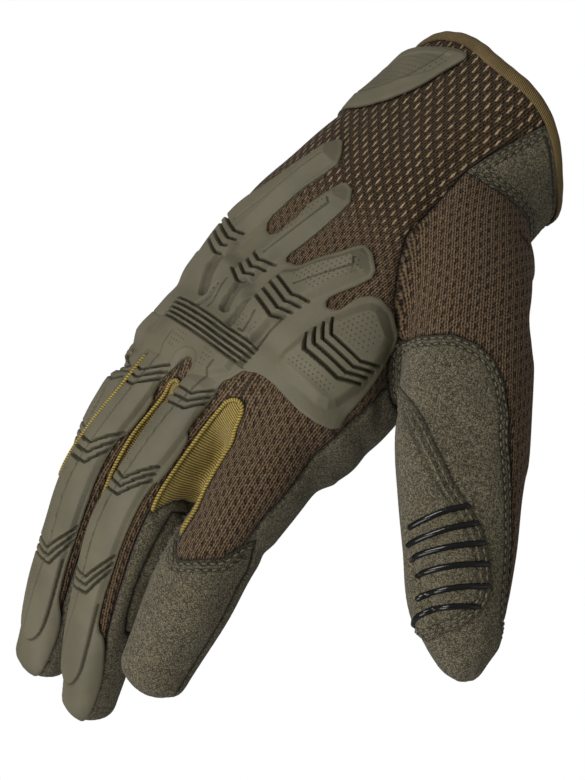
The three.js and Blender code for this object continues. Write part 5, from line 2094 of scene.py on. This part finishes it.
def seam_rows(name):
    """Lines beside a panel's seams for its stitch rows, left out under the tape."""
    sheet, faces = fine_seams(*panels[name])
    gap = edge_distance(sheet, faces, SEAM_FINE)
    out = []
    for row in DOUBLE_ROW:
        height = seam_rise(np.array([row]), SUEDE_LIFT, DOUBLE_ROW)[0] + STITCH_WIDTH * STITCH_OVER
        for line, normals in contour(sheet, faces, gap, row):
            line, normals = walk(line, ROW_STEP, normals)
            line = evened(line, ROW_ROUNDS)
            reading = Reading(line)
            kept = reading["palm"][1] < 0
            if name == "index_cap":
                kept &= cap_top(reading) > 0.5
            out += split_line(line + normals * height, normals, kept)
    return out


rows = [row for name in ("thumb_suede", "wrist_gusset", "index_cap") for row in seam_rows(name)]
plain_piece("suede_stitches", stitched(rows), "thread")
pad_gap = edge_distance(*pad_patch, SEAM_FINE)
rows = []
for row in PAD_ROWS:
    for line, normals in contour(*pad_patch, pad_gap, row):
        rows.append((line + normals * (PAD_HEIGHT + PAD_STITCH_OVER), normals))
plain_piece("pad_stitches", stitched(rows), "thread")

PIPING_RADIUS = 0.62
PIPING_SIDES = 8
PIPING_STEP = 0.9
PIPING_ROUNDS = 6
# How high the piping lies over a seam and over the ring finger, how far it keeps off the guard, and how
# near two panels' edges are where they share a seam
PIPING_OVER = 0.12
RING_PIPING_OVER = 1.5
GUARD_CLEAR = 0.7
SEAM_MEETS = 0.6


def shared_seam(name, other):
    """Lines along the seam between two panels, with the first one's normals."""
    points, faces = panels[name]
    tree = tree_of(panels[other][0][open_points(panels[other][1])])
    near = {i for i in open_points(faces).tolist() if tree.find(points[i])[2] < SEAM_MEETS}
    links = {}
    for i, j in np.unique(np.sort(open_edges(faces), axis=1), axis=0).tolist():
        if i in near and j in near:
            links.setdefault(i, []).append(j)
            links.setdefault(j, []).append(i)
    normals = normals_of(points, faces)
    return [(points[run], normals[run]) for run in runs(links, 6)]


def piping():
    """Piping along the webs' seams with the back, and over the ring finger's strip."""
    paths = []
    for name in WEBS:
        for line, normals in shared_seam(name, "back_mesh"):
            line, normals = walk(line, PIPING_STEP, normals)
            line = evened(line, PIPING_ROUNDS)
            for _ in range(PIPING_ROUNDS):
                normals[1:-1] = normals[:-2] + normals[1:-1] + normals[2:]
            normals = unit(normals)
            clear = guard_outline(Reading(line)) < -GUARD_CLEAR
            paths += split_line(line + normals * PIPING_OVER, normals, clear)
    paths.append(settled_line(RING_PIPING, "ring", RING_PIPING_OVER, PIPING_STEP))
    profile = round_profile(PIPING_RADIUS, PIPING_RADIUS, PIPING_SIDES)
    points, faces, uvs, start = [], [], [], 0
    for line, normals in paths:
        part_points, part_faces, part_uv = sweep(line, normals, profile, 1)
        points.append(part_points)
        faces.append(part_faces + start)
        uvs.append(part_uv)
        start += len(part_points)
    return np.vstack(points), np.vstack(faces), np.vstack(uvs)


plain_piece("fourchette_piping", piping(), "piping")


# Camera, light and floor

AZIMUTH, ELEVATION, ROLL = 46, -10, 45
TARGET = Vector((8, 14, -99)) * MM
CAMERA_DISTANCE = 0.8
LENS = 121.85


def camera_axes():
    """The camera's right, up and back directions."""
    turn, tilt, roll = radians(AZIMUTH), radians(ELEVATION), radians(ROLL)
    back = Vector((sin(turn) * cos(tilt), -cos(turn) * cos(tilt), sin(tilt)))
    level = Vector((cos(turn), sin(turn), 0))
    upright = back.cross(level)
    right = cos(roll) * level + sin(roll) * upright
    return right, back.cross(right), back


def place_camera():
    right, up, back = camera_axes()
    data = bpy.data.cameras.new("camera")
    data.lens = LENS
    camera = bpy.data.objects.new("camera", data)
    bpy.context.scene.collection.objects.link(camera)
    turn = Matrix((right, up, back)).transposed().to_4x4()
    camera.matrix_world = Matrix.Translation(TARGET + back * CAMERA_DISTANCE) @ turn
    bpy.context.scene.camera = camera


# Soft lights: how far they stand along the camera's right, up and back, their size in metres and their power
LIGHTS = {
    "key": ((-0.8, 0.45, 0.75), 0.6, 7.2),
    "low": ((-0.75, -0.6, 0.6), 0.8, 6.2),
    "fill": ((0.7, -0.4, 0.7), 1.1, 0.9),
}
WORLD_LIGHT = 0.30
FLOOR_DEPTH = -2.0
FLOOR_HALF = 6.0


def place_lights():
    right, up, back = camera_axes()
    for name, ((across, over, near_share), size, power) in LIGHTS.items():
        data = bpy.data.lights.new(name, "AREA")
        data.shape, data.size, data.energy = "DISK", size, power
        lamp = bpy.data.objects.new(name, data)
        bpy.context.scene.collection.objects.link(lamp)
        offset = right * across + up * over + back * near_share
        facing = offset.to_track_quat("Z", "Y").to_matrix().to_4x4()
        lamp.matrix_world = Matrix.Translation(TARGET + offset) @ facing


def light_world():
    world = bpy.data.worlds.new("studio")
    world.use_nodes = True
    nodes = Nodes(world.node_tree)
    sky = world.node_tree.nodes["Background"]
    sky.inputs["Color"].default_value = (1, 1, 1, 1)
    seen = nodes.add("ShaderNodeLightPath").outputs["Is Camera Ray"]
    world.node_tree.links.new(nodes.smooth(seen, 0.0, 1.0, WORLD_LIGHT, 1.0), sky.inputs["Strength"])
    bpy.context.scene.world = world


def place_floor():
    corners = np.array([(-1, -1), (1, -1), (1, 1), (-1, 1)]) * FLOOR_HALF / MM
    points = np.hstack([corners, np.full((4, 1), FLOOR_DEPTH / MM)])
    floor = mesh_object("floor", points, [(0, 1, 2, 3)])
    material, nodes, shader = new_material("floor", 0.9)
    tone = nodes.smooth(nodes.noise(nodes.place(), 300.0), 0.3, 0.7)
    connect(nodes, shader, nodes.mix(tone, *FLOOR), nodes.bump(tone, 0.1, 0.1))
    floor.data.materials.append(material)


place_camera()
place_lights()
light_world()
place_floor()
bpy.context.scene.view_settings.view_transform = "Standard"
